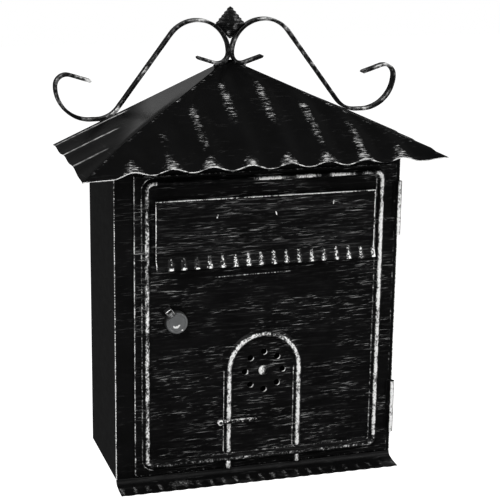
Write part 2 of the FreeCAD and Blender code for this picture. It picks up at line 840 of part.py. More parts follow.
def make_lock_plug():
    """Lock plug with a key slot in its face, turning in the body."""
    body = new_body("lock_plug")
    inner_end = "box_depth - lock_inside - part_gap"
    face = f"{DOOR_FRONT} + lock_head_high - plug_recess"
    core = new_sketch(body, "core", "XZ_Plane", inner_end)
    circle(core, "lock_x", LOCK_Z, "lock_bore - plug_clearance")
    extrude(body, "Pad", core, f"{face} - ( {inner_end} )", "core_pad")
    doc.recompute()
    key = new_sketch(body, "key", "XZ_Plane", face)
    rectangle(key, "lock_x - key_wide / 2", "lock_x + key_wide / 2",
              f"{LOCK_Z} - key_tall / 2", f"{LOCK_Z} + key_tall / 2")
    pocket(body, key, "key_deep", "key_slot")


def make_lock_washer_and_nut():
    """Washer and hexagon nut that clamp the lock body from inside the door."""
    washer = new_body("lock_washer")
    ring = new_sketch(washer, "ring", "XZ_Plane", "box_depth + door_gap - washer_thick")
    circle(ring, "lock_x", LOCK_Z, "washer_radius")
    circle(ring, "lock_x", LOCK_Z, "lock_barrel + barrel_clearance")
    extrude(washer, "Pad", ring, "washer_thick", "pad")
    nut = new_body("lock_nut")
    hexagon = new_sketch(nut, "hexagon", "XZ_Plane", "box_depth + door_gap - washer_thick - nut_thick")
    corners = []
    for index in range(6):
        angle = math.radians(60 * index + 30)
        reach = 1 / math.cos(math.radians(30)) / 2
        corners.append((f"lock_x + nut_across * {reach * math.cos(angle):.6f}",
                        f"{LOCK_Z} + nut_across * {reach * math.sin(angle):.6f}"))
    polygon(hexagon, corners)
    circle(hexagon, "lock_x", LOCK_Z, "lock_barrel + barrel_clearance")
    extrude(nut, "Pad", hexagon, "nut_thick", "pad")


def make_lock_cam():
    """Cam on the end of the plug, hanging down while the door is unlocked, and its screw."""
    cam = new_body("lock_cam")
    depth = "box_depth - lock_inside - part_gap - cam_thick"
    arm = new_sketch(cam, "arm", "XZ_Plane", depth)
    rectangle(arm, "lock_x - cam_wide / 2", "lock_x + cam_wide / 2", f"{LOCK_Z} - cam_long",
              f"{LOCK_Z} + cam_wide / 2")
    circle(arm, "lock_x", LOCK_Z, "cam_hole")
    extrude(cam, "Pad", arm, "cam_thick", "pad")
    screw = new_body("cam_screw")
    head = new_sketch(screw, "head", "XZ_Plane", f"{depth} - screw_head_thick")
    circle(head, "lock_x", LOCK_Z, "screw_head")
    extrude(screw, "Pad", head, "screw_head_thick", "head_pad")
    doc.recompute()
    shank = new_sketch(screw, "shank", "XZ_Plane", depth)
    circle(shank, "lock_x", LOCK_Z, "screw_shank")
    extrude(screw, "Pad", shank, "cam_thick", "shank_pad")


def lock_place():
    """Placement at the lock's centre, with its X axis pointing at the cap's hinge."""
    spin = Rotation(Vector(0, 1, 0), -size.cap_angle)
    return Placement(Vector(size.lock_x, 0, size.lock_level + size.floor_level), spin)


def block(low, high):
    """A box between two opposite corners."""
    return Part.makeBox(high.x - low.x, high.y - low.y, high.z - low.z, low)


def round_bar(radius, long, x, y):
    """A round bar along Z, centred on the plane z = 0."""
    return Part.makeCylinder(radius, long, Vector(x, y, -long / 2), Vector(0, 0, 1))


def make_weather_cap():
    """Weather cap over the key slot: a disc with one flat side, hinged on a pin in the tab.

    The cap lies along the lock's X axis, its hinge beyond the flat side.
    """
    door_face = -(size.box_depth + size.door_gap + size.sheet_thick)
    back = door_face - size.cap_out
    front = back - size.cap_thick
    axis = (back + front) / 2
    reach = size.cap_hinge_reach
    far = size.eave_half
    overlap = 0.2

    disc = Part.makeCylinder(size.cap_radius, size.cap_thick, Vector(0, back, 0), Vector(0, -1, 0))
    disc = disc.cut(block(Vector(size.cap_flat, -far, -far), Vector(far, 0, far)))
    front_edges = [edge for edge in disc.Edges if edge.BoundBox.YMax < front + size.part_gap]
    disc = disc.makeFillet(size.cap_round, front_edges)
    eye_half = size.cap_eye_wide / 2
    arm = block(Vector(size.cap_flat - overlap, front, -eye_half), Vector(reach, back, eye_half))
    eye = round_bar(size.cap_thick / 2, size.cap_eye_wide, reach, axis)
    hole = round_bar(size.cap_pin + size.barrel_clearance, size.tab_wide * 2, reach, axis)
    shaped("lock_weather_cap", disc.fuse(arm).fuse(eye).cut(hole), lock_place())

    tab_half = size.tab_wide / 2
    foot_start = size.lock_head + size.part_gap
    foot = block(Vector(foot_start, front, -tab_half), Vector(size.tab_reach, door_face, tab_half))
    ears = round_bar(size.cap_thick / 2, size.tab_wide, reach, axis)
    link = block(Vector(reach, front, -tab_half), Vector(foot_start + overlap, back, tab_half))
    notch_half = eye_half + size.cap_room
    notch_end = reach + size.cap_thick / 2 + size.cap_room
    notch = block(Vector(0, -far, -notch_half), Vector(notch_end, back + size.cap_room, notch_half))
    pin_hole = round_bar(size.cap_pin, size.tab_wide * 2, reach, axis)
    tab = foot.fuse(ears).fuse(link).cut(notch).cut(pin_hole)
    shaped("cap_hinge_tab", tab, lock_place())
    shaped("cap_hinge_pin", round_bar(size.cap_pin, size.tab_wide, reach, axis), lock_place())


# ---------------------------------------------------------------- build


def build():
    make_back_panel()
    make_side_panel("left_side_panel", "-1")
    make_side_panel("right_side_panel", "1")
    make_bottom_panel()
    make_front_header()
    make_base_apron()
    make_roof()
    make_scrolls()
    make_scroll_welds()
    make_finial()
    make_door_panel()
    make_vent_boss()
    make_door_handle()
    make_letter_flap()
    for side, sign in (("left", "-"), ("right", "+")):
        make_flap_knuckle(f"{side}_flap_knuckle", sign)
        make_flap_lug(f"{side}_flap_lug", sign)
    make_flap_rod()
    make_hinge("upper")
    make_hinge("lower")
    make_lock_body()
    make_lock_plug()
    make_lock_washer_and_nut()
    make_lock_cam()
    make_weather_cap()
    doc.recompute()


def check():
    """Stops the build if any object failed or any sub-part is empty or broken."""
    for item in doc.Objects:
        if "Invalid" in item.State or "Error" in item.State:
            raise ValueError(f"{item.Name} failed: {item.State}")
    for part in SUBPARTS:
        if part.Shape.isNull() or not part.Shape.isValid():
            raise ValueError(f"{part.Label} has no valid shape")
        if not part.Shape.Solids:
            raise ValueError(f"{part.Label} has no solid")


def write():
    os.makedirs("parts", exist_ok=True)
    for part in SUBPARTS:
        part.Shape.exportStep(os.path.join("parts", f"{part.Label}.step"))
        box = part.Shape.BoundBox
        print(f"{part.Label:24s} solids {len(part.Shape.Solids)} volume {part.Shape.Volume:10.1f}"
              f"  x {box.XMin:.1f} {box.XMax:.1f}  y {box.YMin:.1f} {box.YMax:.1f}"
              f"  z {box.ZMin:.1f} {box.ZMax:.1f}")


build()
check()
write()
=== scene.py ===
import math

import bpy
from mathutils import Matrix, Vector, noise


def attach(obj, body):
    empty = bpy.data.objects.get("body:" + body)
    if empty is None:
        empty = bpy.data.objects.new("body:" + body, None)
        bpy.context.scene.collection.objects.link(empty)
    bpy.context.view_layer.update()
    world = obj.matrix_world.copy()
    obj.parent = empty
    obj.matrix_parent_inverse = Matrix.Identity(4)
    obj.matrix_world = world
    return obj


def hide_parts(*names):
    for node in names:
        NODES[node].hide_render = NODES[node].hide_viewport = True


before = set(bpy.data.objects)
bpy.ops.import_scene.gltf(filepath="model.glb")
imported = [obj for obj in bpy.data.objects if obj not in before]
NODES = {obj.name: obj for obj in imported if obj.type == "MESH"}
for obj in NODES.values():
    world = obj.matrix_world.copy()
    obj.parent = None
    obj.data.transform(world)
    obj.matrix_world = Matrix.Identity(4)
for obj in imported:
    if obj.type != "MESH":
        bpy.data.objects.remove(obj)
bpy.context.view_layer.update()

MM = 0.001
FLOOR_LEVEL = -160.0
scene = bpy.context.scene


def level(height):
    """Row-frame height of a height counted from the underside of the box, in mm."""
    return height + FLOOR_LEVEL


def smooth(value):
    """value held between 0 and 1, eased at both ends."""
    value = min(max(value, 0.0), 1.0)
    return value * value * (3 - 2 * value)


def window(value, start, full, fade, end):
    """0 outside start to end, 1 between full and fade."""
    return smooth((value - start) / (full - start)) * smooth((end - value) / (end - fade))


def speckle(x, y, z, scale):
    """Smooth seeded noise from -1 to 1; scale is the size of a feature in mm."""
    return noise.noise(Vector((x / scale, y / scale, z / scale)))


# ---------------------------------------------------------------- materials


class Graph:
    """Short hand for building a node material."""

    def __init__(self, name):
        self.material = bpy.data.materials.new(name)
        self.material.use_nodes = True
        self.tree = self.material.node_tree
        self.tree.nodes.clear()
        self.output = self.node("ShaderNodeOutputMaterial")
        self.shader = self.node("ShaderNodeBsdfPrincipled")
        self.link(self.shader.outputs[0], self.output.inputs["Surface"])
        self.place = self.node("ShaderNodeTexCoord").outputs["Object"]

    def node(self, kind, **settings):
        """A new node with its properties set."""
        made = self.tree.nodes.new(kind)
        for key, value in settings.items():
            setattr(made, key, value)
        return made

    def link(self, source, target):
        self.tree.links.new(source, target)

    def put(self, value, socket):
        """Links a socket or sets a plain value."""
        if isinstance(value, bpy.types.NodeSocket):
            self.link(value, socket)
        else:
            socket.default_value = value

    def math(self, operation, *values, clamp=False):
        made = self.node("ShaderNodeMath", operation=operation, use_clamp=clamp)
        for index, value in enumerate(values):
            self.put(value, made.inputs[index])
        return made.outputs[0]

    def times(self, first, second):
        return self.math("MULTIPLY", first, second)

    def plus(self, first, second):
        return self.math("ADD", first, second)

    def minus(self, first, second):
        return self.math("SUBTRACT", first, second)

    def larger(self, first, second):
        return self.math("MAXIMUM", first, second)

    def axes(self):
        """x, y and z of the shaded point, in metres."""
        split = self.node("ShaderNodeSeparateXYZ")
        self.link(self.place, split.inputs[0])
        return split.outputs

    def bump(self, height, strength, distance):
        """Roughens the surface by a height in units of distance, in mm."""
        made = self.node("ShaderNodeBump")
        made.inputs["Strength"].default_value = strength
        made.inputs["Distance"].default_value = distance * MM
        self.link(height, made.inputs["Height"])
        self.link(made.outputs[0], self.shader.inputs["Normal"])

    def noise(self, cell, detail=2.0, tilt=0.0, rough=0.5, offset=(0.0, 0.0, 0.0)):
        """Noise with features of cell = (x, y, z) mm, turned by tilt degrees in the front plane."""
        turned = self.node("ShaderNodeMapping")
        turned.inputs["Rotation"].default_value = (0.0, math.radians(tilt), 0.0)
        self.link(self.place, turned.inputs["Vector"])
        stretched = self.node("ShaderNodeMapping")
        stretched.inputs["Scale"].default_value = [1 / (size * MM) for size in cell]
        stretched.inputs["Location"].default_value = offset
        self.link(turned.outputs[0], stretched.inputs["Vector"])
        made = self.node("ShaderNodeTexNoise")
        made.inputs["Scale"].default_value = 1.0
        made.inputs["Detail"].default_value = detail
        made.inputs["Roughness"].default_value = rough
        self.link(stretched.outputs[0], made.inputs["Vector"])
        return made.outputs["Fac"]

    def step(self, value, low, high):
        """0 below low, 1 above high, eased between."""
        made = self.node("ShaderNodeMapRange", interpolation_type="SMOOTHSTEP")
        self.put(value, made.inputs["Value"])
        made.inputs["From Min"].default_value = low
        made.inputs["From Max"].default_value = high
        return made.outputs["Result"]

    def blend(self, amount, low, high):
        """A float or colour between low and high."""
        colour = isinstance(low, tuple) or isinstance(high, tuple)
        made = self.node("ShaderNodeMix", data_type="RGBA" if colour else "FLOAT")
        sockets = [s for s in made.inputs if s.enabled]
        self.put(amount, sockets[0])
        for value, socket in ((low, sockets[1]), (high, sockets[2])):
            self.put((*value, 1.0) if isinstance(value, tuple) else value, socket)
        return next(s for s in made.outputs if s.enabled)


EAVE_HALF = 162.5
EAVE_FRONT = 132.5
CASING_HALF = 130.0
CASING_DEEP = 102.0
PAINT_BLACK = (0.0019, 0.0019, 0.002)
# silver paint, also the colour of the painted highlights
SILVER_AND_HIGHLIGHT = (0.9, 0.9, 0.89)
THIN_SILVER_AND_HIGHLIGHT = (0.15, 0.15, 0.15)


def worn_corner(g):
    """Silver along the casing's two front corners, fading upward, and a mask of its front faces."""
    x, y, z = g.axes()
    side = g.minus(g.math("ABSOLUTE", x), CASING_HALF * MM)
    ahead = g.plus(y, CASING_DEEP * MM)
    reach = g.math("SQRT", g.plus(g.times(side, side), g.times(ahead, ahead)))
    edge = g.minus(1.0, g.step(reach, 0.3 * MM, 1.1 * MM))
    wavering = g.plus(0.45, g.noise((40.0, 40.0, 30.0), detail=1.0, offset=(0.0, 6.0, 0.0)))
    fading = g.minus(0.98, g.step(z, -150.0 * MM, 330.0 * MM))
    faces_front = g.math("SUBTRACT", 1.12, g.step(y, -101.9 * MM, -101.2 * MM), clamp=True)
    return g.times(edge, g.times(fading, wavering)), faces_front


def stroke_lines(g, streaks, haze):
    """Long thin strokes across the front, in patches and some of them tilted, over a fainter haze."""
    straight = g.noise((20.0, 30.0, 0.64), detail=3.0, rough=0.58)
    tilted = g.noise((15.0, 30.0, 0.62), detail=3.0, rough=0.58, tilt=4.5, offset=(7.3, 0.0, 2.1))
    patches = g.noise((48.0, 60.0, 20.0), detail=2.0, offset=(3.1, 0.0, 5.7))
    lines = g.larger(g.step(straight, 0.61, 0.71), g.step(tilted, 0.62, 0.73))
    lines = g.times(lines, g.plus(0.12, g.step(patches, 0.4, 0.58)))
    faint = g.noise((26.0, 30.0, 0.8), detail=4.0, rough=0.7, offset=(5.0, 0.0, 9.0))
    faint = g.times(g.step(faint, 0.5, 0.68), g.plus(0.35, patches))
    return g.larger(g.times(lines, streaks), g.times(faint, haze))


def dull_places(g):
    """Where the side roofs have lost their gloss: toward the eave and beside the hip."""
    x, y, _ = g.axes()
    across = g.math("DIVIDE", g.math("ABSOLUTE", x), EAVE_HALF * MM)
    out = g.math("DIVIDE", g.math("ABSOLUTE", y), EAVE_FRONT * MM)
    low_down = g.step(g.minus(across, g.times(out, 0.3)), 0.4, 0.6)
    by_hip = g.minus(1.0, g.step(g.minus(across, out), 0.02, 0.1))
    return g.larger(low_down, g.times(by_hip, g.step(across, 0.25, 0.5)))


def painted(name, streaks=0.0, haze=0.0, mottle=0.0, roughness=0.42, specular=0.16, cell=(2.6, 2.6, 1.1),
            coarse=None, soft=(0.3, 0.85), ragged=2.6, front=None, corner=False, duller=None, rubbed=True):
    """Black paint rubbed with silver where the mesh's brush value is high and in strokes, with painted
    highlights drawn the same way where that value holds them.

    streaks, haze and mottle are the strengths of long strokes, faint strokes and specks. cell, in mm, is the
    size of the noise that breaks up the worn crests, coarse a larger size mixed with it, ragged how far it
    breaks them up, and soft the range in which silver sets in. front is (y from, y to, strength), in mm, for
    pieces whose foremost part is rubbed bare. corner rubs the casing's front corners, duller is the roughness
    of the side roofs' dull places, and rubbed=False leaves the brush value out.
    """
    g = Graph(name)
    crest = g.node("ShaderNodeAttribute", attribute_name="brush_and_highlight").outputs["Fac"] if rubbed else 0.0
    if front:
        behind = g.step(g.axes()[1], front[0] * MM, front[1] * MM)
        crest = g.larger(crest, g.times(g.minus(1.0, behind), front[2]))
    if corner:
        edge, faces_front = worn_corner(g)
        crest = g.larger(crest, edge)
    broken = g.noise(cell, detail=3.0, rough=0.6)
    if coarse:
        blotches = g.noise(coarse, detail=2.0, offset=(4.0, 1.0, 2.0))
        broken = g.plus(g.times(broken, 0.6), g.times(blotches, 0.4))
    wear_and_highlight = g.plus(crest, g.times(g.minus(broken, 0.5), ragged))
    mask = g.times(g.step(wear_and_highlight, *soft), g.step(crest, 0.05, 0.3))
    if streaks:
        lines = stroke_lines(g, streaks, haze)
        mask = g.larger(mask, g.times(lines, faces_front) if corner else lines)
    if mottle:
        spots = g.noise((3.2, 3.2, 2.2), detail=4.0, rough=0.65, offset=(1.7, 4.2, 0.4))
        mask = g.larger(mask, g.times(g.step(spots, 0.56, 0.72), mottle))
    mask = g.math("MINIMUM", mask, 1.0)
    uneven = g.step(g.noise((24.0, 24.0, 24.0), detail=3.0), 0.3, 0.7)
    shade = g.blend(uneven, tuple(c * 0.75 for c in PAINT_BLACK), tuple(c * 1.3 for c in PAINT_BLACK))
    thin = g.blend(g.step(mask, 0.0, 0.5), shade, THIN_SILVER_AND_HIGHLIGHT)
    g.link(g.blend(g.step(mask, 0.35, 1.0), thin, SILVER_AND_HIGHLIGHT), g.shader.inputs["Base Color"])
    polish = g.noise((9.0, 9.0, 5.0), detail=4.0, offset=(0.0, 8.0, 3.0))
    gloss = g.blend(polish, roughness - 0.07, roughness + 0.09)
    if duller:
        gloss = g.blend(g.times(dull_places(g), 0.9), gloss, duller)
    g.link(g.blend(mask, gloss, 0.5), g.shader.inputs["Roughness"])
    g.shader.inputs["Specular IOR Level"].default_value = specular
    g.link(g.times(mask, 0.35), g.shader.inputs["Metallic"])
    peel = g.noise((1.6, 1.6, 1.6), detail=3.0, offset=(2.0, 2.0, 2.0))
    g.bump(g.plus(g.times(peel, 0.5), g.times(mask, 0.6)), strength=0.35, distance=0.12)
    return g.material


def metal(name, colour, roughness, metallic=1.0, tarnished=0.62, wear_and_glint_colour=None):
    """Bare or plated metal with fine scratches, uneven tarnish and, given a second colour, rubbed crests in
    it;
    on the lock cap that colour draws painted highlights.

    tarnished is how bright the darkest places are beside the colour.
    """
    g = Graph(name)
    tarnish = g.noise((8.0, 8.0, 8.0), detail=4.0)
    fine = g.noise((9.0, 9.0, 0.3), detail=2.0, offset=(1.0, 2.0, 3.0))
    tone = g.blend(g.step(tarnish, 0.35, 0.68), tuple(c * tarnished for c in colour), colour)
    if wear_and_glint_colour:
        crest = g.node("ShaderNodeAttribute", attribute_name="brush_and_highlight").outputs["Fac"]
        ragged = g.plus(crest, g.times(g.minus(fine, 0.5), 0.7))
        tone = g.blend(g.step(ragged, 0.45, 0.8), tone, wear_and_glint_colour)
    g.link(tone, g.shader.inputs["Base Color"])
    g.link(g.blend(fine, roughness - 0.08, roughness + 0.12), g.shader.inputs["Roughness"])
    g.shader.inputs["Metallic"].default_value = metallic
    pits = g.noise((2.0, 2.0, 2.0), detail=4.0)
    g.bump(g.plus(fine, g.times(pits, 0.6)), strength=0.25, distance=0.05)
    return g.material


CASING = painted("black_paint_casing", streaks=0.16, specular=0.14, corner=True)
INSIDE = painted("black_paint_inside", roughness=0.5, specular=0.1, rubbed=False)
DOOR = painted("black_paint_brushed", streaks=0.52, haze=0.1, specular=0.1, cell=(1.5, 1.5, 2.2),
               coarse=(4.0, 4.0, 7.0), soft=(0.36, 1.3), ragged=3.0)
FLAP = painted("black_paint_flap", streaks=0.5, haze=0.2, specular=0.1, cell=(1.5, 1.5, 1.5), ragged=2.2)
ROOF = painted("black_paint_roof", streaks=0.12, roughness=0.3, specular=0.27, cell=(6.5, 1.25, 1.25),
               soft=(0.24, 1.2), ragged=3.0)
ROOF_SIDE = painted("black_paint_roof_side", streaks=0.12, roughness=0.18, specular=0.17,
                    cell=(6.0, 6.0, 6.0), soft=(0.3, 1.4), ragged=0.9, duller=0.66)
IRON = painted("black_paint_iron", mottle=0.16, roughness=0.36, specular=0.3, cell=(4.5, 4.5, 4.5),
               soft=(0.25, 1.15), ragged=1.6)
APRON = painted("black_paint_apron", streaks=0.24, haze=0.16, roughness=0.4, specular=0.34,
                cell=(1.6, 2.6, 2.6), soft=(0.2, 1.5), ragged=2.0)
HARDWARE = painted("black_paint_hinge", mottle=0.25, cell=(1.6, 1.6, 2.4), coarse=(6.0, 6.0, 9.0),
                   soft=(0.3, 1.2), front=(-107.5, -106.8, 1.0))
HANDLE = painted("black_paint_handle", mottle=0.16, cell=(1.8, 1.8, 1.2))
PLATED = metal("plated_steel", (0.52, 0.53, 0.54), 0.34)
LOCK_METAL = metal("lock_metal", (0.20, 0.20, 0.20), 0.42, wear_and_glint_colour=(0.75, 0.75, 0.74))
CAP_GREY = metal("cap_grey", (0.125, 0.128, 0.13), 0.36, metallic=0.25, tarnished=0.82,
                 wear_and_glint_colour=(0.78, 0.78, 0.77))

# ---------------------------------------------------------------- mesh pieces


def piece(name, shape, body, material, replaces=(), sharp=35.0, sheet=None, lining=None):
    """A mesh piece that rides on a body.

    shape is its points in mm, its faces and the points' values of silver wear and painted highlight. Edges
    sharper than sharp degrees stay crisp. sheet is a thickness in mm laid behind the faces, and lining the
    paint on that sheet's back.
    """
    points, faces, brush_and_highlight = shape
    mesh = bpy.data.meshes.new(name)
    mesh.from_pydata([(x * MM, y * MM, z * MM) for x, y, z in points], [], faces)
    mesh.update()
    wear_and_highlight = mesh.attributes.new("brush_and_highlight", "FLOAT", "POINT")
    wear_and_highlight.data.foreach_set("value", brush_and_highlight)
    mesh.polygons.foreach_set("use_smooth", [True] * len(mesh.polygons))
    mesh.set_sharp_from_angle(angle=math.radians(sharp))
    mesh.materials.append(material)
    made = bpy.data.objects.new(name, mesh)
    scene.collection.objects.link(made)
    if sheet:
        solid = made.modifiers.new("sheet", "SOLIDIFY")
        solid.thickness = sheet * MM
        solid.offset = -1.0
        solid.use_even_offset = True
        if lining:
            mesh.materials.append(lining)
            solid.material_offset = 1
    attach(made, body)
    if replaces:
        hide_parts(*replaces)


def stations(stops):
    """Grid lines from (position, spacing to the next stop) pairs; the last pair only ends the line."""
    lines = []
    for (start, gap), (end, _) in zip(stops, stops[1:]):
        count = max(1, round((end - start) / gap))
        lines += [start + (end - start) * index / count for index in range(count)]
    return lines + [stops[-1][0]]


def grid_faces(rows, columns, keep=None):
    """Quads of a grid of rows x columns points, in row order."""
    faces = []
    for row in range(rows - 1):
        for column in range(columns - 1):
            first = row * columns + column
            quad = (first, first + 1, first + columns + 1, first + columns)
            if keep is None or keep(quad):
                faces.append(quad)
    return faces


def ring_faces(rings, around, first=True, last=True):
    """Faces of a tube of rings with around points each; first and last say which ends are capped."""
    faces = []
    for row in range(rings - 1):
        for column in range(around):
            a = row * around + column
            b = row * around + (column + 1) % around
            faces.append((a, b, b + around, a + around))
    if first:
        faces.append(tuple(reversed(range(around))))
    if last:
        faces.append(tuple(range((rings - 1) * around, rings * around)))
    return faces


def used_only(points, faces):
    """Drops the points that no face uses."""
    used = sorted({index for face in faces for index in face})
    new = {old: index for index, old in enumerate(used)}
    return [points[index] for index in used], [tuple(new[index] for index in face) for face in faces]


def closed(points, faces, brush_and_highlight):
    """A closed shape with coincident points merged, empty faces dropped and every face turned outward."""
    seen = {}
    kept = []
    number = []
    for index, point in enumerate(points):
        key = tuple(round(value, 5) for value in point)
        if key not in seen:
            seen[key] = len(kept)
            kept.append(index)
        number.append(seen[key])
    merged = []
    for face in faces:
        face = [number[index] for index in face]
        face = tuple(index for place, index in enumerate(face) if index != face[place - 1])
        if len(set(face)) > 2:
            merged.append(face)
    points = [points[index] for index in kept]
    volume = 0.0
    for face in merged:
        corner = Vector(points[face[0]])
        for second, third in zip(face[1:], face[2:]):
            volume += corner.dot(Vector(points[second]).cross(Vector(points[third])))
    if volume < 0:
        merged = [tuple(reversed(face)) for face in merged]
    return points, merged, [brush_and_highlight[index] for index in kept]


def join(*shapes):
    """One or several closed shapes, each as (points, faces, brush), as one."""
    points, faces, brush_and_highlight = [], [], []
    for shape in shapes:
        more, quads, wear_and_highlight = closed(*shape)
        faces += [tuple(index + len(points) for index in quad) for quad in quads]
        points += more
        brush_and_highlight += wear_and_highlight
    return points, faces, brush_and_highlight


def lump(centre, radii, seed, wear_and_highlight, rings=26, around=36, rough=0.12):
    """An uneven ball, worn all over alike."""
    points = []
    cx, cy, cz = centre
    for row in range(rings + 1):
        tilt = math.pi * row / rings
        for column in range(around):
            turn = 2 * math.pi * column / around
            way = (math.sin(tilt) * math.cos(turn), math.sin(tilt) * math.sin(turn), math.cos(tilt))
            grow = 1 - rough * (1 + speckle(way[0] * 5 + seed, way[1] * 5, way[2] * 5, 2.0)) / 2
            points.append((cx + radii[0] * grow * way[0], cy + radii[1] * grow * way[1],
                           cz + radii[2] * grow * way[2]))
    faces = [(a, d, c, b) for a, b, c, d in ring_faces(rings + 1, around, False, False)]
    return points, faces, [wear_and_highlight] * len(points)


# ---------------------------------------------------------------- roof

EAVE = level(284.0)
APEX = level(356.5)
FRONT_WAVE = 1.9
SIDE_WAVE = 0.9
FRONT_WAVES = 9.5
SIDE_WAVES = 3.2
SIDE_CREST = 0.07
FADE = 22.0
DROOP = 6.0
DROOP_REACH = 80.0
ROOF_ROWS = 150
SHEET_THIN = 0.9


def roof_point(x, y, face):
    """Height of the roof's outer skin, how high the wave stands (-1 to 1), and the distance to the hip."""
    across = abs(x) / EAVE_HALF
    out = -y / EAVE_FRONT
    rise = APEX - EAVE
    if face == "front":
        plane = APEX - rise * out
        phase = FRONT_WAVES * (1 + x / EAVE_HALF) / 2 - 1.25
        waves_end = across < (FRONT_WAVES - 1.5) / FRONT_WAVES
        hip = (out - across) * EAVE_FRONT
        height = FRONT_WAVE
    else:
        plane = APEX - rise * across
        phase = SIDE_WAVES * (out - SIDE_CREST)
        waves_end = phase < 2.5
        hip = (across - out) * EAVE_HALF
        height = SIDE_WAVE * smooth((across - 0.42 - 0.4 * out) / 0.24)
    wave = math.cos(2 * math.pi * phase) if waves_end else -1.0
    corner = math.hypot(x + EAVE_HALF, y + EAVE_FRONT)
    droop = DROOP * max(0.0, 1 - corner / DROOP_REACH) ** 2
    return plane + height * wave * smooth(hip / FADE) - droop, wave, hip, phase


def roof_wear_and_highlight(x, y, face):
    """Where silver was rubbed on: up the crests, in a wedge above the eave, and on the cut edge; and painted
    highlight lines along the side roofs' crests.
    """
    _, wave, hip, phase = roof_point(x, y, face)
    if face == "front":
        eave = EAVE_FRONT + y
        aside = (phase - round(phase)) * 2 * EAVE_HALF / FRONT_WAVES
        alive = 1.0 if abs(phase - round(phase)) < 0.45 and -0.4 < phase < 7.4 else 0.0
        patch = 0.75 + 0.45 * speckle(round(phase) * 31.0, y, 3.0, 17.0)
        up_crest = math.exp(-(aside / 4.8) ** 2) * window(hip, 13.0, 24.0, 58.0, 82.0) * 0.6 * patch
        wedge_reach = 17.0 + 3.0 * speckle(round(phase) * 17.0, 0.0, 0.0, 5.0)
        lean = 2.2 + 6.5 * max(0.0, 1 - eave / wedge_reach)
        wedge = math.exp(-(aside / lean) ** 2) * smooth(1.15 - eave / wedge_reach) * 0.68
        scratches = 0.34 * math.exp(-((hip - 2.0) / 2.0) ** 2) * (0.6 + speckle(x, y, 0.0, 9.0))
        edge = 0.8 + 0.4 * speckle(x, 0.0, 8.0, 13.0)
        if round(phase) < 2:
            up_crest *= 0.5
        return max(alive * up_crest, alive * wedge, scratches, edge if eave < 0.1 else 0.0)
    eave = EAVE_HALF - abs(x)
    across = abs(x) / EAVE_HALF
    # painted highlight: a thin line along each side crest, where the gloss would catch the light
    crest_highlight_reach = smooth((across - 0.5 - 0.36 * (-y / EAVE_FRONT)) / 0.1)
    ridge = 1.15 * max(0.0, wave) ** 11 * crest_highlight_reach * (0.9 + 0.3 * speckle(x, y, 2.0, 30.0))
    scratches = 0.4 * math.exp(-((hip - 3.0) / 2.5) ** 2) * max(0.0, speckle(x, y, 0.0, 14.0))
    return max(ridge, scratches, 0.3 if eave < 0.1 else 0.0)


def roof_panel(side, face, slope, along):
    """One triangle of the roof as a fine sheet; slope is -1 or 1 for a side panel, and 0 for the front."""
    points = []
    brush_and_highlight = []
    tip = 0.012
    rows = [tip + (1 - tip) * (row / ROOF_ROWS) for row in range(ROOF_ROWS)]
    rows += [1 - 0.3 / EAVE_FRONT, 1.0]
    for out in rows:
        for column in range(along + 1):
            share = column / along
            y = -EAVE_FRONT * out
            if face == "front":
                x = (2 * share - 1) * EAVE_HALF * out
            else:
                x = slope * EAVE_HALF * out
                y *= share if slope < 0 else 1 - share
            points.append((x, y, roof_point(x, y, face)[0]))
            brush_and_highlight.append(roof_wear_and_highlight(x, y, face))
    faces = [tuple(reversed(quad)) for quad in grid_faces(len(rows), along + 1)]
    paint = ROOF if face == "front" else ROOF_SIDE
    piece(f"roof_{side}_sheet", (points, faces, brush_and_highlight), "casing", paint,
          (f"roof_{side}_panel",), sheet=SHEET_THIN, lining=INSIDE)


roof_panel("front", "front", 0, 420)
roof_panel("left", "side", -1, 130)
roof_panel("right", "side", 1, 130)

# ---------------------------------------------------------------- door

DOOR_FACE = -103.4
EMBLEM_X = 5.0
BEAD_HIGH = 3.35
BEAD_FOOT = 4.3
BEAD_HALF = 107.0
BEAD_LOW = level(10.5)
BEAD_TOP = level(267.6)
BEAD_CORNER = 6.0
ARCH_HALF = 32.5
ARCH_SPRING = level(93.6)
DOOR_LEFT = -113.0
DOOR_RIGHT = 126.0
DOOR_LOW = level(1.5)
DOOR_TOP = level(274.0)
DOOR_CORNER = 3.5
SLOT_HALF = 88.0
SLOT_LOW = level(207.0)
SLOT_TOP = level(240.0)
LOCK = (-76.4, level(143.7))
LOCK_HOLE = 8.05
VENT = (EMBLEM_X, level(91.2))
VENT_RING = 17.6
VENT_HOLE = 2.75
VENTS = []
for turn in range(8):
    angle = math.radians(45 * turn)
    VENTS.append((VENT[0] + VENT_RING * math.cos(angle), VENT[1] + VENT_RING * math.sin(angle)))
TOP_DASHES = ((-8.0, 25.0), (27.0, 54.0), (57.0, 87.0), (90.0, 104.0))


def ridge(distance):
    """Height share of a pressed bead, 1 on its crest and 0 past its soft foot."""
    return (0.5 + 0.5 * math.cos(math.pi * min(abs(distance) / BEAD_FOOT, 1.0))) ** 0.8


def border_distance(x, z):
    """Distance to the border bead's centre line, a rectangle with round corners."""
    half_wide = BEAD_HALF - BEAD_CORNER
    half_high = (BEAD_TOP - BEAD_LOW) / 2 - BEAD_CORNER
    dx = abs(x - EMBLEM_X) - half_wide
    dz = abs(z - (BEAD_TOP + BEAD_LOW) / 2) - half_high
    outside = math.hypot(max(dx, 0.0), max(dz, 0.0))
    return outside + min(max(dx, dz), 0.0) - BEAD_CORNER


def leg_distance(x, z, low, high):
    """Distance to the nearer leg between two heights."""
    dx = abs(x - EMBLEM_X) - ARCH_HALF
    dz = max(low - z, z - high, 0.0)
    return math.hypot(dx, dz)


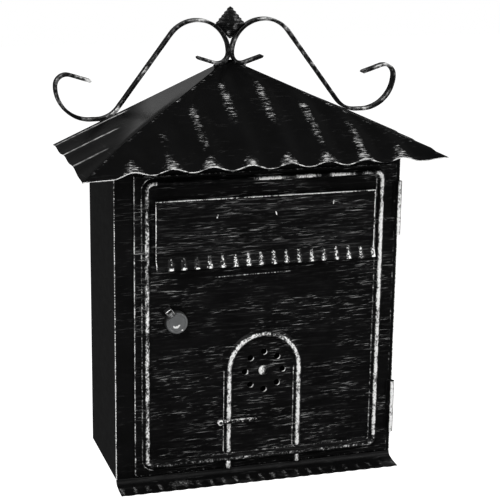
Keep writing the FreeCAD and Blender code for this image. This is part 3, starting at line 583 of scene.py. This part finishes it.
def arch_distance(x, z):
    """Distance to the centre line of the arch with its legs."""
    if z > ARCH_SPRING:
        return abs(math.hypot(x - EMBLEM_X, z - ARCH_SPRING) - ARCH_HALF)
    return leg_distance(x, z, level(18.5), ARCH_SPRING)


def vent_rim(x, z):
    """Height and wear of the raised rims round the vent holes, with a painted highlight on the lower right of
    each rim, the side that faces the light.
    """
    high = 0.0
    wear_and_highlight = 0.0
    for cx, cz in VENTS:
        reach = math.hypot(x - cx, z - cz)
        if reach > VENT_HOLE + 2.2:
            continue
        high = 0.5 * smooth(1 - abs(reach - VENT_HOLE - 0.3) / 1.3)
        lit_side = ((x - cx) * 0.8 - (z - cz) * 0.6) / max(reach, 0.1)
        close = smooth(1 - (reach - VENT_HOLE) / 1.25)
        wear_and_highlight = close * (0.3 + 1.1 * max(0.0, lit_side) ** 1.5)
    return high, wear_and_highlight


def border_wear(x, z, right, upright):
    """How hard the border is rubbed: hard up both sides, in dashes along the top, and lightly at its foot."""
    if upright and z > level(19.0 if right else 12.0):
        strength = 1.1 if right else 0.86
        if not right and z > level(225.0):
            strength = 0.78
        return strength + 0.25 * speckle(x, 0.0, z, 21.0)
    if z > level(255.0):
        for start, finish in TOP_DASHES:
            if start < x < finish:
                return 0.5 + 0.65 * window(x, start, start + 10.0, finish - 10.0, finish)
        return 0.85 if x < -92.0 else 0.1
    if z < level(20.0):
        return 0.5 + 0.2 * speckle(x, 9.0, 0.0, 14.0)
    return 0.12


def door_shape(x, z):
    """Height of the door's face over the flat sheet, and its wear there with the painted highlights."""
    border = border_distance(x, z)
    arch = arch_distance(x, z)
    stub = leg_distance(x, z, level(1.0), level(6.8))
    on_border = ridge(border)
    on_arch = max(ridge(arch), ridge(stub))
    rim, rim_wear_and_highlight = vent_rim(x, z)
    high = max(BEAD_HIGH * max(on_border, on_arch), rim)
    right = x > EMBLEM_X
    upright = abs(abs(x - EMBLEM_X) - BEAD_HALF) < BEAD_FOOT + 1.4
    # silver on the crests of the border and the arch
    narrow = 0.34 if upright else 0.52
    crest = smooth((on_border - narrow) / (0.96 - narrow)) * border_wear(x, z, right, upright)
    on_top = window(x - EMBLEM_X, -6.0, 8.0, 12.0, 24.0) if z > ARCH_SPRING else 0.0
    lit = 1.05 - 0.36 * on_top + 0.2 * speckle(x, 0.0, z, 14.0)
    crest = max(crest, smooth((on_arch - 0.27) / 0.66) * lit)
    # painted highlights: a fine line along the left foot of each upright, where its crease faces the light,
    # and along the foot border
    foot_highlight_line = 0.0
    if upright:
        foot_highlight_line = 1.1 * smooth(1 - abs(border + (BEAD_FOOT if right else -BEAD_FOOT)) / 0.7)
    inner = abs(x - EMBLEM_X) < ARCH_HALF
    if z < ARCH_SPRING and inner == right:
        foot_highlight_line = max(foot_highlight_line, 1.1 * smooth(1 - abs(arch - BEAD_FOOT) / 0.7))
    if z < level(22.0):
        along = window(x, -60.0, -50.0, 88.0, 98.0)
        foot_highlight_line = max(foot_highlight_line, 0.75 * smooth(1 - abs(border + 4.6) / 0.8) * along)
    # the cut edges, and one long scratch under the flap
    edge = min(x - DOOR_LEFT, DOOR_RIGHT - x, z - DOOR_LOW, DOOR_TOP - z)
    cut = 0.0
    if edge < 1.2:
        strength = 0.85 if x - DOOR_LEFT < 1.2 else 0.45
        cut = strength * smooth(1.4 - edge) + 0.2 * speckle(x, 3.0, z, 14.0)
    scratch_level = level(181.5) + (x + 4.0) * 0.012
    scratch = 0.95 * smooth(1 - abs(z - scratch_level) / 0.8) * window(x, -46.0, -36.0, 26.0, 36.0)
    return high, max(crest, foot_highlight_line, rim_wear_and_highlight, cut, scratch)


def hole_cut(points, faces, centre, radius, tolerance):
    """Removes the faces inside a round hole and draws its rim onto the circle."""
    cx, cz = centre
    inside = []
    kept = []
    for face in faces:
        mx = sum(points[i][0] for i in face) / len(face)
        mz = sum(points[i][2] for i in face) / len(face)
        (inside if math.hypot(mx - cx, mz - cz) < radius else kept).append(face)
    rim = {i for f in inside for i in f} & {i for f in kept for i in f}
    for index in rim:
        x, y, z = points[index]
        reach = math.hypot(x - cx, z - cz)
        if abs(reach - radius) < tolerance:
            points[index] = (cx + (x - cx) * radius / reach, y, cz + (z - cz) * radius / reach)
    return kept


def make_door():
    """Door sheet: pressed border and arch, vent holes with raised rims, letter slot and lock hole."""
    slot_left = EMBLEM_X - SLOT_HALF
    slot_right = EMBLEM_X + SLOT_HALF
    xs = stations([(DOOR_LEFT, 0.4), (DOOR_LEFT + 1.2, 1.6), (-107.2, 0.6), (-96.8, 2.6), (slot_left, 2.6),
                   (-68.0, 3.0), (-46.0, 2.0), (-33.0, 0.6), (43.0, 2.0), (56.0, 3.0), (slot_right, 2.6),
                   (106.8, 0.6), (117.2, 1.6), (DOOR_RIGHT - 1.2, 0.4), (DOOR_RIGHT, 1.0)])
    zs = stations([(DOOR_LOW, 0.5), (level(15.5), 1.0), (level(24.0), 2.0), (level(68.0), 0.6),
                   (level(131.0), 2.4), (level(179.0), 0.5), (level(184.0), 2.6), (SLOT_LOW, 2.6),
                   (SLOT_TOP, 2.6), (level(255.0), 1.2), (level(262.8), 0.6), (level(272.6), 0.5),
                   (DOOR_TOP, 1.0)])
    points = [(x, DOOR_FACE, z) for z in zs for x in xs]

    def in_sheet(face):
        mx = sum(points[i][0] for i in face) / 4
        mz = sum(points[i][2] for i in face) / 4
        beyond = math.hypot(max(DOOR_LEFT + DOOR_CORNER - mx, 0), max(DOOR_LOW + DOOR_CORNER - mz, 0))
        in_slot = abs(mx - EMBLEM_X) < SLOT_HALF and SLOT_LOW < mz < SLOT_TOP
        return not in_slot and beyond <= DOOR_CORNER + 0.2

    faces = grid_faces(len(zs), len(xs), in_sheet)
    for centre in VENTS:
        faces = hole_cut(points, faces, centre, VENT_HOLE, 0.7)
    faces = hole_cut(points, faces, LOCK, LOCK_HOLE, 2.6)
    points, faces = used_only(points, faces)
    brush_and_highlight = []
    shaped = []
    for x, y, z in points:
        high, wear_and_highlight = door_shape(x, z)
        shaped.append((x, y - high, z))
        brush_and_highlight.append(max(0.0, wear_and_highlight))
    piece("door_sheet", (shaped, faces, brush_and_highlight), "door", DOOR, ("door_panel",),
          sheet=0.95, sharp=50.0, lining=INSIDE)


make_door()

# ---------------------------------------------------------------- letter flap

FLAP_HALF = 100.0
FLAP_TOP = level(252.4)
FLAP_BEND = level(203.5)
FLAP_LOW = level(192.3)
FLAP_FACE = -108.2
FLARE = 4.3
FLUTE_PITCH = 11.6
FLUTE_START = -82.3
APRON_START = -127.4
FLUTE_HIGH = 1.1


def make_flap():
    """Flap plate: flat, then flared along its lower edge and crimped into flutes."""
    left = EMBLEM_X - FLAP_HALF
    right = EMBLEM_X + FLAP_HALF
    xs = stations([(left, 0.4), (left + 1.2, 0.8), (right - 1.2, 0.4), (right, 1.0)])
    rows = stations([(0.0, 0.25), (1.0, 0.5), (16.0, 1.8), (FLAP_TOP - FLAP_LOW - 2.4, 0.4),
                     (FLAP_TOP - FLAP_LOW, 1.0)])
    points = []
    brush_and_highlight = []
    bend = FLAP_BEND - FLAP_LOW
    for rise in rows:
        z = FLAP_LOW + rise
        for x in xs:
            down = max(0.0, 1 - rise / bend)
            flare = FLARE * down ** 1.25
            phase = (x - FLUTE_START) / FLUTE_PITCH
            off = abs(phase - round(phase)) * FLUTE_PITCH
            alive = 1.0 if -0.5 < phase < 16.5 else 0.0
            half = 1.5 + 1.9 * smooth(down * 1.15)
            taper = smooth((13.6 - rise) / 9.0)
            flute = alive * taper * (0.5 + 0.5 * math.cos(math.pi * min(off / half, 1.0)))
            y = FLAP_FACE - flare - FLUTE_HIGH * flute
            edge = min(x - left, right - x, FLAP_TOP - z)
            wear_and_highlight = 0.0
            if edge < 1.1:
                wear_and_highlight = (0.74 + 0.45 * speckle(x, 1.0, z, 11.0)) * smooth(1.35 - edge / 0.9)
            number = round(phase)
            boost = 0.06 * math.sin(number * 2.4) + 0.16 * speckle(number * 7.0, 0.0, rise, 3.0)
            middle = 0.4 + 0.24 * smooth((number - 1.5) / 3.0)
            narrow = math.exp(-(off / (1.6 + 0.8 * down)) ** 2)
            dash = alive * narrow * window(rise, 0.4, 1.8, 6.5, 15.0) * (middle + boost)
            foot = alive * math.exp(-((off - 0.4) / 2.1) ** 2) * window(rise, -1.0, 0.0, 1.0, 2.6)
            foot *= 0.9 if number < 5 else 0.7
            lower = 0.1 if rise < 0.3 else 0.0
            points.append((x, y, z))
            brush_and_highlight.append(max(wear_and_highlight, dash, foot, lower))
    faces = grid_faces(len(rows), len(xs))
    piece("letter_flap_sheet", (points, faces, brush_and_highlight), "flap", FLAP, ("letter_flap",),
          sheet=SHEET_THIN, sharp=50.0, lining=INSIDE)


make_flap()

# ---------------------------------------------------------------- base apron


def make_apron():
    """Apron under the door: a cove, then a flared lip crimped into small flutes."""
    bend, centre_y = 4.5, -106.5
    tip_y, tip_z = -123.2, level(-6.1)
    bends, steps = 8, 22
    profile = []
    for index in range(bends + 1):
        angle = math.radians(-84.0 * index / bends)
        profile.append((centre_y + bend * math.cos(angle), FLOOR_LEVEL + bend * math.sin(angle)))
    foot_y, foot_z = profile[-1]
    for index in range(1, steps + 1):
        share = index / steps
        profile.append((foot_y + (tip_y - foot_y) * share, foot_z + (tip_z - foot_z) * share))
    xs = stations([(-129.9, 0.8), (129.9, 1.0)])
    points = []
    brush_and_highlight = []
    for order, (y, z) in enumerate(profile):
        along = max(0.0, (order - bends) / steps)
        for x in xs:
            phase = (x - APRON_START) / FLUTE_PITCH
            off = abs(phase - round(phase)) * FLUTE_PITCH
            taper = smooth((along - 0.42) / 0.5)
            flute = taper * (0.5 + 0.5 * math.cos(math.pi * min(off / 4.6, 1.0)))
            points.append((x, y, z - 0.45 * smooth(along * 3) + 0.4 * flute))
            rub = 0.6 + 0.5 * speckle(x, 7.0, 0.0, 23.0)
            strokes = math.exp(-(off / 2.5) ** 2) * window(along, 0.1, 0.35, 0.75, 1.0)
            smear = window(x, -88.0, -80.0, -66.0, -58.0) * window(along, 0.05, 0.2, 0.5, 0.75)
            strokes *= 0.62 - 0.16 * smooth((x - 20.0) / 80.0)
            wear_and_highlight = max(strokes * (0.7 + 0.5 * rub), 0.4 * smear * (0.7 + rub))
            fold = 0.4 * smooth(1 - order / 1.4) * (0.7 + speckle(x, 0.0, 5.0, 16.0))
            brush_and_highlight.append(max(wear_and_highlight, fold, 0.3 * rub if order == len(profile) - 1 else 0.0))
    faces = [tuple(reversed(quad)) for quad in grid_faces(len(profile), len(xs))]
    piece("base_apron_sheet", (points, faces, brush_and_highlight), "casing", APRON, ("base_apron",),
          sheet=0.6)


make_apron()

# ---------------------------------------------------------------- scrolls and finial

BAR_THICK = 2.9
BAR_DEEP = 7.9
BAR_ROUND = 0.55
IRON_Y = -4.0
SCROLL_BASE = level(362.4)


def scroll_path(gap):
    """Points and headings along the right-hand scroll, from the tip of its foot to the tip of its curl."""
    lean, fall = 18.0, 53.0
    foot_run, foot_bend = 18.0, 9.5
    # a straight run's length, or a bend's radius and its turn in degrees
    steps = [(foot_run, 0.0), (foot_bend, -90.0 - lean), (30.0, -90.0 - fall), (81.0, 0.0), (24.0, fall),
             (6.0, 0.0), (31.0, 90.0), (10.0, 90.0 + lean), (20.0, 0.0)]
    heading = math.pi + math.radians(lean)
    tilt = math.radians(lean)
    x = 1.6 + foot_bend + foot_bend * math.sin(tilt) + foot_run * math.cos(tilt)
    z = foot_run * math.sin(tilt) - foot_bend * math.cos(tilt)
    track = [(x, z, heading)]
    for size, degrees in steps:
        turn = math.radians(degrees)
        length = abs(turn) * size if turn else size
        count = max(2, round(length / gap))
        for _ in range(count):
            middle = heading + turn / count / 2
            chord = length / count
            if turn:
                chord = 2 * size * math.sin(abs(turn) / count / 2)
            x += chord * math.cos(middle)
            z += chord * math.sin(middle)
            heading += turn / count
            track.append((x, z, heading))
    return track


def bar_section():
    """Outline of the scrolls' bar as (across its thickness, along its depth) points, its corners rounded."""
    half_t, half_d = BAR_THICK / 2, BAR_DEEP / 2
    flat_t, flat_d = half_t - BAR_ROUND, half_d - BAR_ROUND
    corners = ((1, -1, -90, [(half_t, share * flat_d) for share in (-0.5, 0.0, 0.5)]),
               (1, 1, 0, [(share * flat_t, half_d) for share in (0.4, -0.4)]),
               (-1, 1, 90, [(-half_t, share * flat_d) for share in (0.5, 0.0, -0.5)]),
               (-1, -1, 180, [(share * flat_t, -half_d) for share in (-0.4, 0.4)]))
    section = []
    for cx, cy, start, flat in corners:
        for index in range(4):
            angle = math.radians(start + 30 * index)
            across = cx * flat_t + BAR_ROUND * math.cos(angle)
            section.append((across, cy * flat_d + BAR_ROUND * math.sin(angle)))
        section += flat
    return section


def make_scroll(name, side, seed):
    """Hammered flat bar on edge, bent into a scroll; side is 1 for the right one and -1 for the left."""
    track = scroll_path(1.3)
    travel = [0.0]
    for (xa, za, _), (xb, zb, _) in zip(track, track[1:]):
        travel.append(travel[-1] + math.hypot(xb - xa, zb - za))
    total = travel[-1]
    half_t, half_d = BAR_THICK / 2, BAR_DEEP / 2
    section = bar_section()
    points = []
    brush_and_highlight = []
    for (x, z, heading), s in zip(track, travel):
        to_end = min(s, total - s)
        close = max(0.25, math.sqrt(max(0.0, 1 - (1 - min(to_end / half_t, 1.0)) ** 2)))
        nx, nz = -math.sin(heading), math.cos(heading)
        for t, d in section:
            dent = 0.09 * (speckle(s + seed, t * 2, d * 2, 5.0) - 0.6)
            t_now = (t + math.copysign(dent, t)) * close if abs(t) > 0.2 else t * close
            py = IRON_Y + d * (1 + 0.012 * speckle(s + seed, 0.0, 9.0, 7.0) - 0.01)
            points.append((side * (x + nx * t_now), py, SCROLL_BASE + z + nz * t_now))
            front = smooth((-d - half_d + 1.2) / 1.0)
            patch = 0.5 + 0.8 * speckle(s + seed * 3, 2.0, 0.0, 22.0) + 0.15 * speckle(s, t, d, 4.0)
            upward = max(0.0, nz * t / half_t)
            tip = (0.95 if side < 0 else 0.55) * smooth((s - total + 9.0) / 6.0)
            brush_and_highlight.append(max(0.0, front * patch * (0.75 + 0.45 * upward), upward * patch * 0.7, tip))
    shape = join((points, ring_faces(len(track), len(section)), brush_and_highlight))
    piece(name + "_bar", shape, "casing", IRON, (name,), sharp=60.0)


make_scroll("right_scroll", 1, 11.0)
make_scroll("left_scroll", -1, 57.0)


def make_finial():
    """Finial: a flattened diamond cast in tiers, its faces rough."""
    low, tall, wide, deep = level(375.3), 28.7, 14.0, 3.6
    middle, lower_tiers, upper_tiers = 0.46, 7, 5
    rings, around = 132, 72
    points = []
    brush_and_highlight = []
    for row in range(rings + 1):
        share = row / rings
        if share < middle:
            tier = share / middle * lower_tiers
            climbed = math.floor(tier) + smooth((tier % 1) * 1.25) if tier < lower_tiers else tier
            reach = 0.06 + 0.94 * (0.35 * share / middle + 0.65 * (climbed / lower_tiers))
        else:
            tier = (1 - share) / (1 - middle) * upper_tiers
            climbed = math.floor(tier) + smooth((tier % 1) * 1.6) if tier < upper_tiers else tier
            reach = 0.04 + 0.96 * (0.2 * (1 - share) / (1 - middle) + 0.8 * (climbed / upper_tiers))
        for column in range(around):
            angle = 2 * math.pi * column / around
            cast = 1 - 0.035 * (1 + speckle(math.cos(angle) * 9, row * 0.35, math.sin(angle) * 9, 2.2))
            x = wide * reach * cast * math.cos(angle)
            z = low + tall * share
            points.append((x, IRON_Y + deep * reach * cast * math.sin(angle), z))
            wear_and_highlight = 0.2 + 0.3 * speckle(x, 2.0, z, 3.5)
            if share >= middle:
                wear_and_highlight += 0.26 * smooth(((tier % 1) - 0.55) * 3) * (0.5 + 0.7 * (x / wide + 0.3))
            else:
                wear_and_highlight += 0.08 * smooth(((tier % 1) - 0.6) * 3)
            brush_and_highlight.append(max(0.0, wear_and_highlight))
    shape = join((points, ring_faces(rings + 1, around), brush_and_highlight))
    piece("finial_casting", shape, "casing", IRON, ("finial",), sharp=70.0)


make_finial()


def make_welds():
    """Weld lumps between the uprights and where each foot meets the roof's peak."""
    foot_level = SCROLL_BASE - 11.6
    spots = [((0.0, IRON_Y, SCROLL_BASE + 3.0), (1.4, 2.0, 5.4)),
             ((-12.0, IRON_Y, foot_level), (4.1, 2.4, 1.8)),
             ((12.0, IRON_Y, foot_level), (4.1, 2.4, 1.8))]
    lumps = [lump(centre, radii, seed * 13.0, 0.62, rough=0.3) for seed, (centre, radii) in enumerate(spots)]
    piece("scroll_welds", join(*lumps), "casing", IRON, ("scroll_weld_beads",), sharp=80.0)


make_welds()

# ---------------------------------------------------------------- boss, handle, marks and lock cap


def make_boss():
    """Domed boss in the middle of the vent holes, rubbed with silver and brighter on its upper left as a
    painted highlight.
    """
    radius, high, rings, around = 4.55, 2.55, 14, 40
    points = []
    brush_and_highlight = []
    for row in range(rings + 1):
        share = row / rings
        for column in range(around):
            turn = 2 * math.pi * column / around
            reach = radius * share
            dome = high * math.sqrt(max(0.0, 1 - share ** 2.2))
            x, z = reach * math.cos(turn), reach * math.sin(turn)
            points.append((VENT[0] + x, DOOR_FACE - dome, VENT[1] + z))
            lit = (-0.85 * x + 0.35 * z) / radius
            brush_and_highlight.append(max(0.0, 0.8 + 1.1 * lit - 0.3 * share))
    shape = join((points, ring_faces(rings + 1, around, first=False), brush_and_highlight))
    piece("vent_boss_dome", shape, "door", DOOR, ("vent_boss",), sharp=60.0)


make_boss()


def rod_along_x(start, end, y, z, radius, seed):
    """A hammered, slightly squared bar along X with rounded ends."""
    around, gap, rounding = 20, 0.8, 1.4
    count = max(4, round((end - start) / gap))
    points = []
    brush_and_highlight = []
    for row in range(count + 1):
        x = start + (end - start) * row / count
        to_end = min(x - start, end - x)
        close = 0.35 + 0.65 * math.sqrt(max(0.0, 1 - (1 - min(to_end / rounding, 1.0)) ** 2))
        for column in range(around):
            turn = 2 * math.pi * column / around
            c, s = math.cos(turn), math.sin(turn)
            square = (abs(c) ** 3 + abs(s) ** 3) ** (-1 / 3)
            dent = 1 - 0.05 * (1 + speckle(x + seed, c * 3, s * 3, 2.5))
            points.append((x, y + radius * c * square * close * dent, z + radius * s * square * close * dent))
            brush_and_highlight.append(max(0.0, 0.28 + 0.3 * s + 0.35 * speckle(x + seed, 0.0, s, 4.0)))
    return points, ring_faces(count + 1, around), brush_and_highlight


def make_handle():
    """Miniature door handle: a bar over the arch's left leg, its round knob, and a stem at each end."""
    z = level(47.2)
    knob_x = -36.1
    bar = rod_along_x(-36.5, -2.1, -108.6, z, 1.85, 3.0)
    knob, knob_faces, _ = lump((knob_x, -108.4, z), (3.0, 2.7, 3.1), 5.0, 0.0, rough=0.1)
    knob_brush = []
    for x, _, high in knob:
        ring = math.exp(-((math.hypot(x - knob_x, high - z) - 2.2) / 0.7) ** 2)
        knob_brush.append(0.25 + 0.65 * ring * (1.0 if x < -35.0 or high > z else 0.5))
    stem = lump((knob_x, -105.4, z), (2.0, 2.2, 2.0), 9.0, 0.1, rings=12, around=20)
    foot = lump((-8.0, -105.2, z), (1.6, 1.9, 1.5), 4.0, 0.05, rings=12, around=20)
    piece("door_handle_forged", join(bar, (knob, knob_faces, knob_brush), stem, foot), "door", HANDLE,
          ("door_handle",), sharp=60.0)


make_handle()


def make_flap_marks():
    """Three small punch marks along the upper part of the flap."""
    marks = []
    for seed, (x, height, lean) in enumerate(((-40.4, 236.7, 0.25), (12.8, 236.5, -0.3), (65.7, 243.6, 0.1))):
        points, faces, brush_and_highlight = lump((0.0, 0.0, 0.0), (0.75, 0.42, 2.1), seed * 7.0, 0.7, rings=12, around=16,
                                    rough=0.3)
        points = [(x + px + lean * pz, FLAP_FACE + 0.06 + py, level(height) + pz) for px, py, pz in points]
        marks.append((points, faces, brush_and_highlight))
    piece("flap_punch_marks", join(*marks), "flap", FLAP, sharp=80.0)


make_flap_marks()

CAP_ANGLE = math.radians(124.0)
CAP_BACK = -107.7
CAP_FRONT = -110.4
CAP_FLAT = 7.55
EYE_REACH = 9.2
EYE_HALF = 1.05
TAB_CORNER = 0.7


def by_lock(toward, across):
    """x and z of a point on the lock's face, toward the cap's hinge and across that way."""
    x = toward * math.cos(CAP_ANGLE) - across * math.sin(CAP_ANGLE)
    z = toward * math.sin(CAP_ANGLE) + across * math.cos(CAP_ANGLE)
    return x, z


def cap_painted_highlights(x, z, reach):
    """Painted highlights on the cap: an arc and a dot by its dimple, a glint at its lower right, and its rim.
    """
    arc = math.exp(-((math.hypot(x + 1.0, z + 0.6) - 3.2) / 1.2) ** 2)
    arc *= smooth((-z - 0.8) / 1.2) * (1.0 if abs(x) < 3.4 else 0.5)
    dot = math.exp(-(((x + 0.2) / 1.7) ** 2 + ((z + 3.6) / 1.4) ** 2))
    glint = math.exp(-(((x - 4.6) / 1.1) ** 2 + ((z + 6.4) / 0.9) ** 2))
    rim = 0.5 * math.exp(-((reach - 8.4) / 0.5) ** 2) * (0.6 + 0.6 * speckle(x, 0.0, z, 5.0))
    return max(0.0, 0.95 * arc, 1.1 * dot, 0.9 * glint, rim)


def cap_disc():
    """The cap's dished disc, flattened toward its hinge."""
    # (radius, y) from the middle of the face, over the rim, to the middle of the back
    profile = [(0.0, CAP_FRONT + 0.55)]
    profile += [(0.35 * k, CAP_FRONT + 0.55 - 0.12 * (0.35 * k / 6.5) ** 2) for k in range(1, 19)]
    profile += [(reach, CAP_FRONT + behind) for reach, behind in (
        (6.7, 0.5), (7.0, 0.66), (7.35, 0.66), (7.6, 0.3), (7.85, 0.08), (8.2, 0.0), (8.7, 0.02), (9.1, 0.2),
        (9.35, 0.55), (9.42, 1.0))]
    profile += [(9.42, CAP_BACK - 0.3), (9.2, CAP_BACK), (0.0, CAP_BACK)]
    around = 96
    points = []
    brush_and_highlight = []
    for reach, y in profile:
        for column in range(around):
            turn = 2 * math.pi * column / around
            x, z = by_lock(min(reach * math.cos(turn), CAP_FLAT), reach * math.sin(turn))
            dimple = math.exp(-((x / 3.4) ** 2 + ((z + 2.6) / 2.6) ** 2))
            pressed = 0.5 * dimple if reach < 6.6 and y < CAP_BACK - 1 else 0.0
            points.append((LOCK[0] + x, y + pressed, LOCK[1] + z))
            brush_and_highlight.append(cap_painted_highlights(x, z, reach))
    return points, ring_faces(len(profile), around, False, False), brush_and_highlight


def cap_eye():
    """The cap's eye round its hinge pin, drawn out toward the disc."""
    sides, radius, tail = 20, 1.35, 2.1
    points = []
    for across in (-EYE_HALF, EYE_HALF):
        for column in range(sides):
            turn = 2 * math.pi * column / sides
            toward = EYE_REACH + (radius if math.cos(turn) > 0 else tail) * math.cos(turn)
            x, z = by_lock(toward, across)
            points.append((LOCK[0] + x, -109.1 + radius * math.sin(turn), LOCK[1] + z))
    return points, ring_faces(2, sides), [0.55] * len(points)


def rimmed_block(near, far, low, high, back, front):
    """A block on the lock's face with its front edge rounded over and rubbed bright.

    near and far run toward the cap's hinge, low and high across that way.
    """
    outline = []
    for a, b, start in ((far, high, 0), (near, high, 90), (near, low, 180), (far, low, 270)):
        for step in range(5):
            turn = math.radians(start + 22.5 * step)
            outline.append((a, b, math.cos(turn), math.sin(turn)))
    # (y, how far the outline has shrunk, wear) from the back to the front
    rows = ((back, 0.0, 0.0), (front + 0.9, 0.0, 0.25), (front + 0.3, 0.12, 0.8), (front, 0.45, 1.0),
            (front + 0.02, 0.8, 0.8), (front + 0.35, 1.15, 0.05))
    points = []
    brush_and_highlight = []
    for y, shrink, wear_and_highlight in rows:
        for a, b, ca, cb in outline:
            toward = a - math.copysign(TAB_CORNER, a - (near + far) / 2) + ca * (TAB_CORNER - shrink)
            across = b - math.copysign(TAB_CORNER, b - (low + high) / 2) + cb * (TAB_CORNER - shrink)
            x, z = by_lock(toward, across)
            points.append((LOCK[0] + x, y, LOCK[1] + z))
            brush_and_highlight.append(wear_and_highlight * (0.75 + 0.4 * speckle(toward, across, y, 2.0)))
    return points, ring_faces(len(rows), len(outline)), brush_and_highlight


def make_lock_cap():
    """Weather cap of the lock: a dished grey disc with a rounded rim, a thumb dimple and its hinge eye."""
    piece("lock_cap_disc", join(cap_disc(), cap_eye()), "lock_cap", CAP_GREY,
          ("lock_weather_cap",), sharp=40.0)


def make_lock_tab():
    """Tab that holds the weather cap's hinge: a foot on the door and two ears."""
    foot = rimmed_block(10.1, 14.6, -3.3, 3.3, DOOR_FACE, CAP_FRONT)
    left_ear = rimmed_block(7.9, 11.2, 1.55, 3.3, -107.8, CAP_FRONT)
    right_ear = rimmed_block(7.9, 11.2, -3.3, -1.55, -107.8, CAP_FRONT)
    piece("lock_tab_casting", join(foot, left_ear, right_ear), "door", LOCK_METAL,
          ("cap_hinge_tab",), sharp=60.0)


make_lock_cap()
make_lock_tab()

# ---------------------------------------------------------------- carried-over CAD nodes

LEAVES = ("upper_hinge_door_leaf", "upper_hinge_frame_leaf",
          "lower_hinge_door_leaf", "lower_hinge_frame_leaf")
SIDES = ("left_side_panel", "right_side_panel")

for node in (*LEAVES, *SIDES, "lock_nut", "lock_cam"):
    rounding = NODES[node].modifiers.new("rounding", "BEVEL")
    rounding.width = 0.25 * MM
    rounding.segments = 2
    rounding.limit_method = "ANGLE"
    rounding.angle_limit = math.radians(50.0)

FINISHES = (
    (CASING, (*SIDES, "front_header", "back_panel", "bottom_panel")),
    (INSIDE, ("left_flap_lug", "right_flap_lug", "left_flap_knuckle", "right_flap_knuckle")),
    (HARDWARE, LEAVES),
    (PLATED, ("flap_rod", "upper_hinge_pin", "lower_hinge_pin", "cap_hinge_pin", "lock_washer", "lock_nut",
              "lock_cam", "cam_screw")),
    (LOCK_METAL, ("lock_body", "lock_plug")),
)

for finish, nodes in FINISHES:
    for node in nodes:
        NODES[node].data.materials.clear()
        NODES[node].data.materials.append(finish)

# ---------------------------------------------------------------- stage, light and camera


def make_stage():
    """Pale floor well under the mailbox, which hangs on a wall."""
    half, drop = 6.0, -0.62
    mesh = bpy.data.meshes.new("floor")
    corners = [(-half, -half, drop), (half, -half, drop), (half, half, drop), (-half, half, drop)]
    mesh.from_pydata(corners, [], [(0, 1, 2, 3)])
    g = Graph("floor_pale")
    g.shader.inputs["Base Color"].default_value = (0.92, 0.92, 0.92, 1.0)
    g.shader.inputs["Roughness"].default_value = 0.9
    g.shader.inputs["Emission Color"].default_value = (1.0, 1.0, 1.0, 1.0)
    g.shader.inputs["Emission Strength"].default_value = 1.0
    mesh.materials.append(g.material)
    floor = bpy.data.objects.new("floor", mesh)
    scene.collection.objects.link(floor)
    floor.visible_glossy = False


def make_world():
    """Studio light: white to the camera, dim all round, and brighter from behind and above the mailbox."""
    world = bpy.data.worlds.new("studio")
    world.use_nodes = True
    tree = world.node_tree
    back = tree.nodes["Background"]
    back.inputs["Color"].default_value = (1.0, 1.0, 1.0, 1.0)
    way = tree.nodes.new("ShaderNodeTexCoord")
    along = tree.nodes.new("ShaderNodeVectorMath")
    along.operation = "DOT_PRODUCT"
    along.inputs[1].default_value = Vector((-0.06, 0.9, 0.43)).normalized()
    tree.links.new(way.outputs["Generated"], along.inputs[0])
    ramp = tree.nodes.new("ShaderNodeMapRange")
    ramp.interpolation_type = "SMOOTHSTEP"
    ramp.inputs["From Min"].default_value = 0.97
    ramp.inputs["From Max"].default_value = 0.998
    ramp.inputs["To Min"].default_value = 0.085
    ramp.inputs["To Max"].default_value = 0.8
    tree.links.new(along.outputs["Value"], ramp.inputs["Value"])
    path = tree.nodes.new("ShaderNodeLightPath")
    seen = tree.nodes.new("ShaderNodeMath")
    seen.operation = "MAXIMUM"
    tree.links.new(path.outputs["Is Camera Ray"], seen.inputs[0])
    tree.links.new(ramp.outputs["Result"], seen.inputs[1])
    tree.links.new(seen.outputs[0], back.inputs["Strength"])
    scene.world = world


def area_light(name, place, aim, size, power):
    """A soft rectangular lamp at a place, turned to its aim; metres and watts."""
    lamp = bpy.data.lights.new(name, "AREA")
    lamp.shape = "RECTANGLE"
    lamp.size, lamp.size_y = size
    lamp.energy = power
    made = bpy.data.objects.new(name, lamp)
    scene.collection.objects.link(made)
    made.location = place
    made.rotation_euler = (Vector(aim) - Vector(place)).to_track_quat("-Z", "Y").to_euler()


def make_camera():
    """Camera from the front left and a little above, level but for a slight roll."""
    place = (-0.40226, -1.35599, 0.39969)
    azimuth, elevation, roll = math.radians(-17.42), math.radians(15.18), math.radians(0.83)
    forward = Vector((-math.sin(azimuth) * math.cos(elevation), math.cos(azimuth) * math.cos(elevation),
                      -math.sin(elevation)))
    right = Vector((math.cos(azimuth), math.sin(azimuth), 0.0))
    upward = right.cross(forward)
    right, upward = (math.cos(roll) * right + math.sin(roll) * upward,
                     math.cos(roll) * upward - math.sin(roll) * right)
    lens = bpy.data.cameras.new("camera")
    lens.sensor_width = 36.0
    lens.lens = 112.13
    lens.clip_start = 0.05
    camera = bpy.data.objects.new("camera", lens)
    scene.collection.objects.link(camera)
    turn = Matrix((right, upward, -forward)).transposed().to_4x4()
    camera.matrix_world = Matrix.Translation(place) @ turn
    scene.camera = camera


make_stage()
make_world()
area_light("key", (-1.1, -1.3, 1.6), (0.0, -0.06, 0.03), (1.0, 1.0), 36.0)
area_light("fill", (1.4, -0.9, 0.7), (0.0, -0.06, 0.0), (0.9, 0.9), 13.0)
make_camera()
scene.view_settings.view_transform = "Standard"
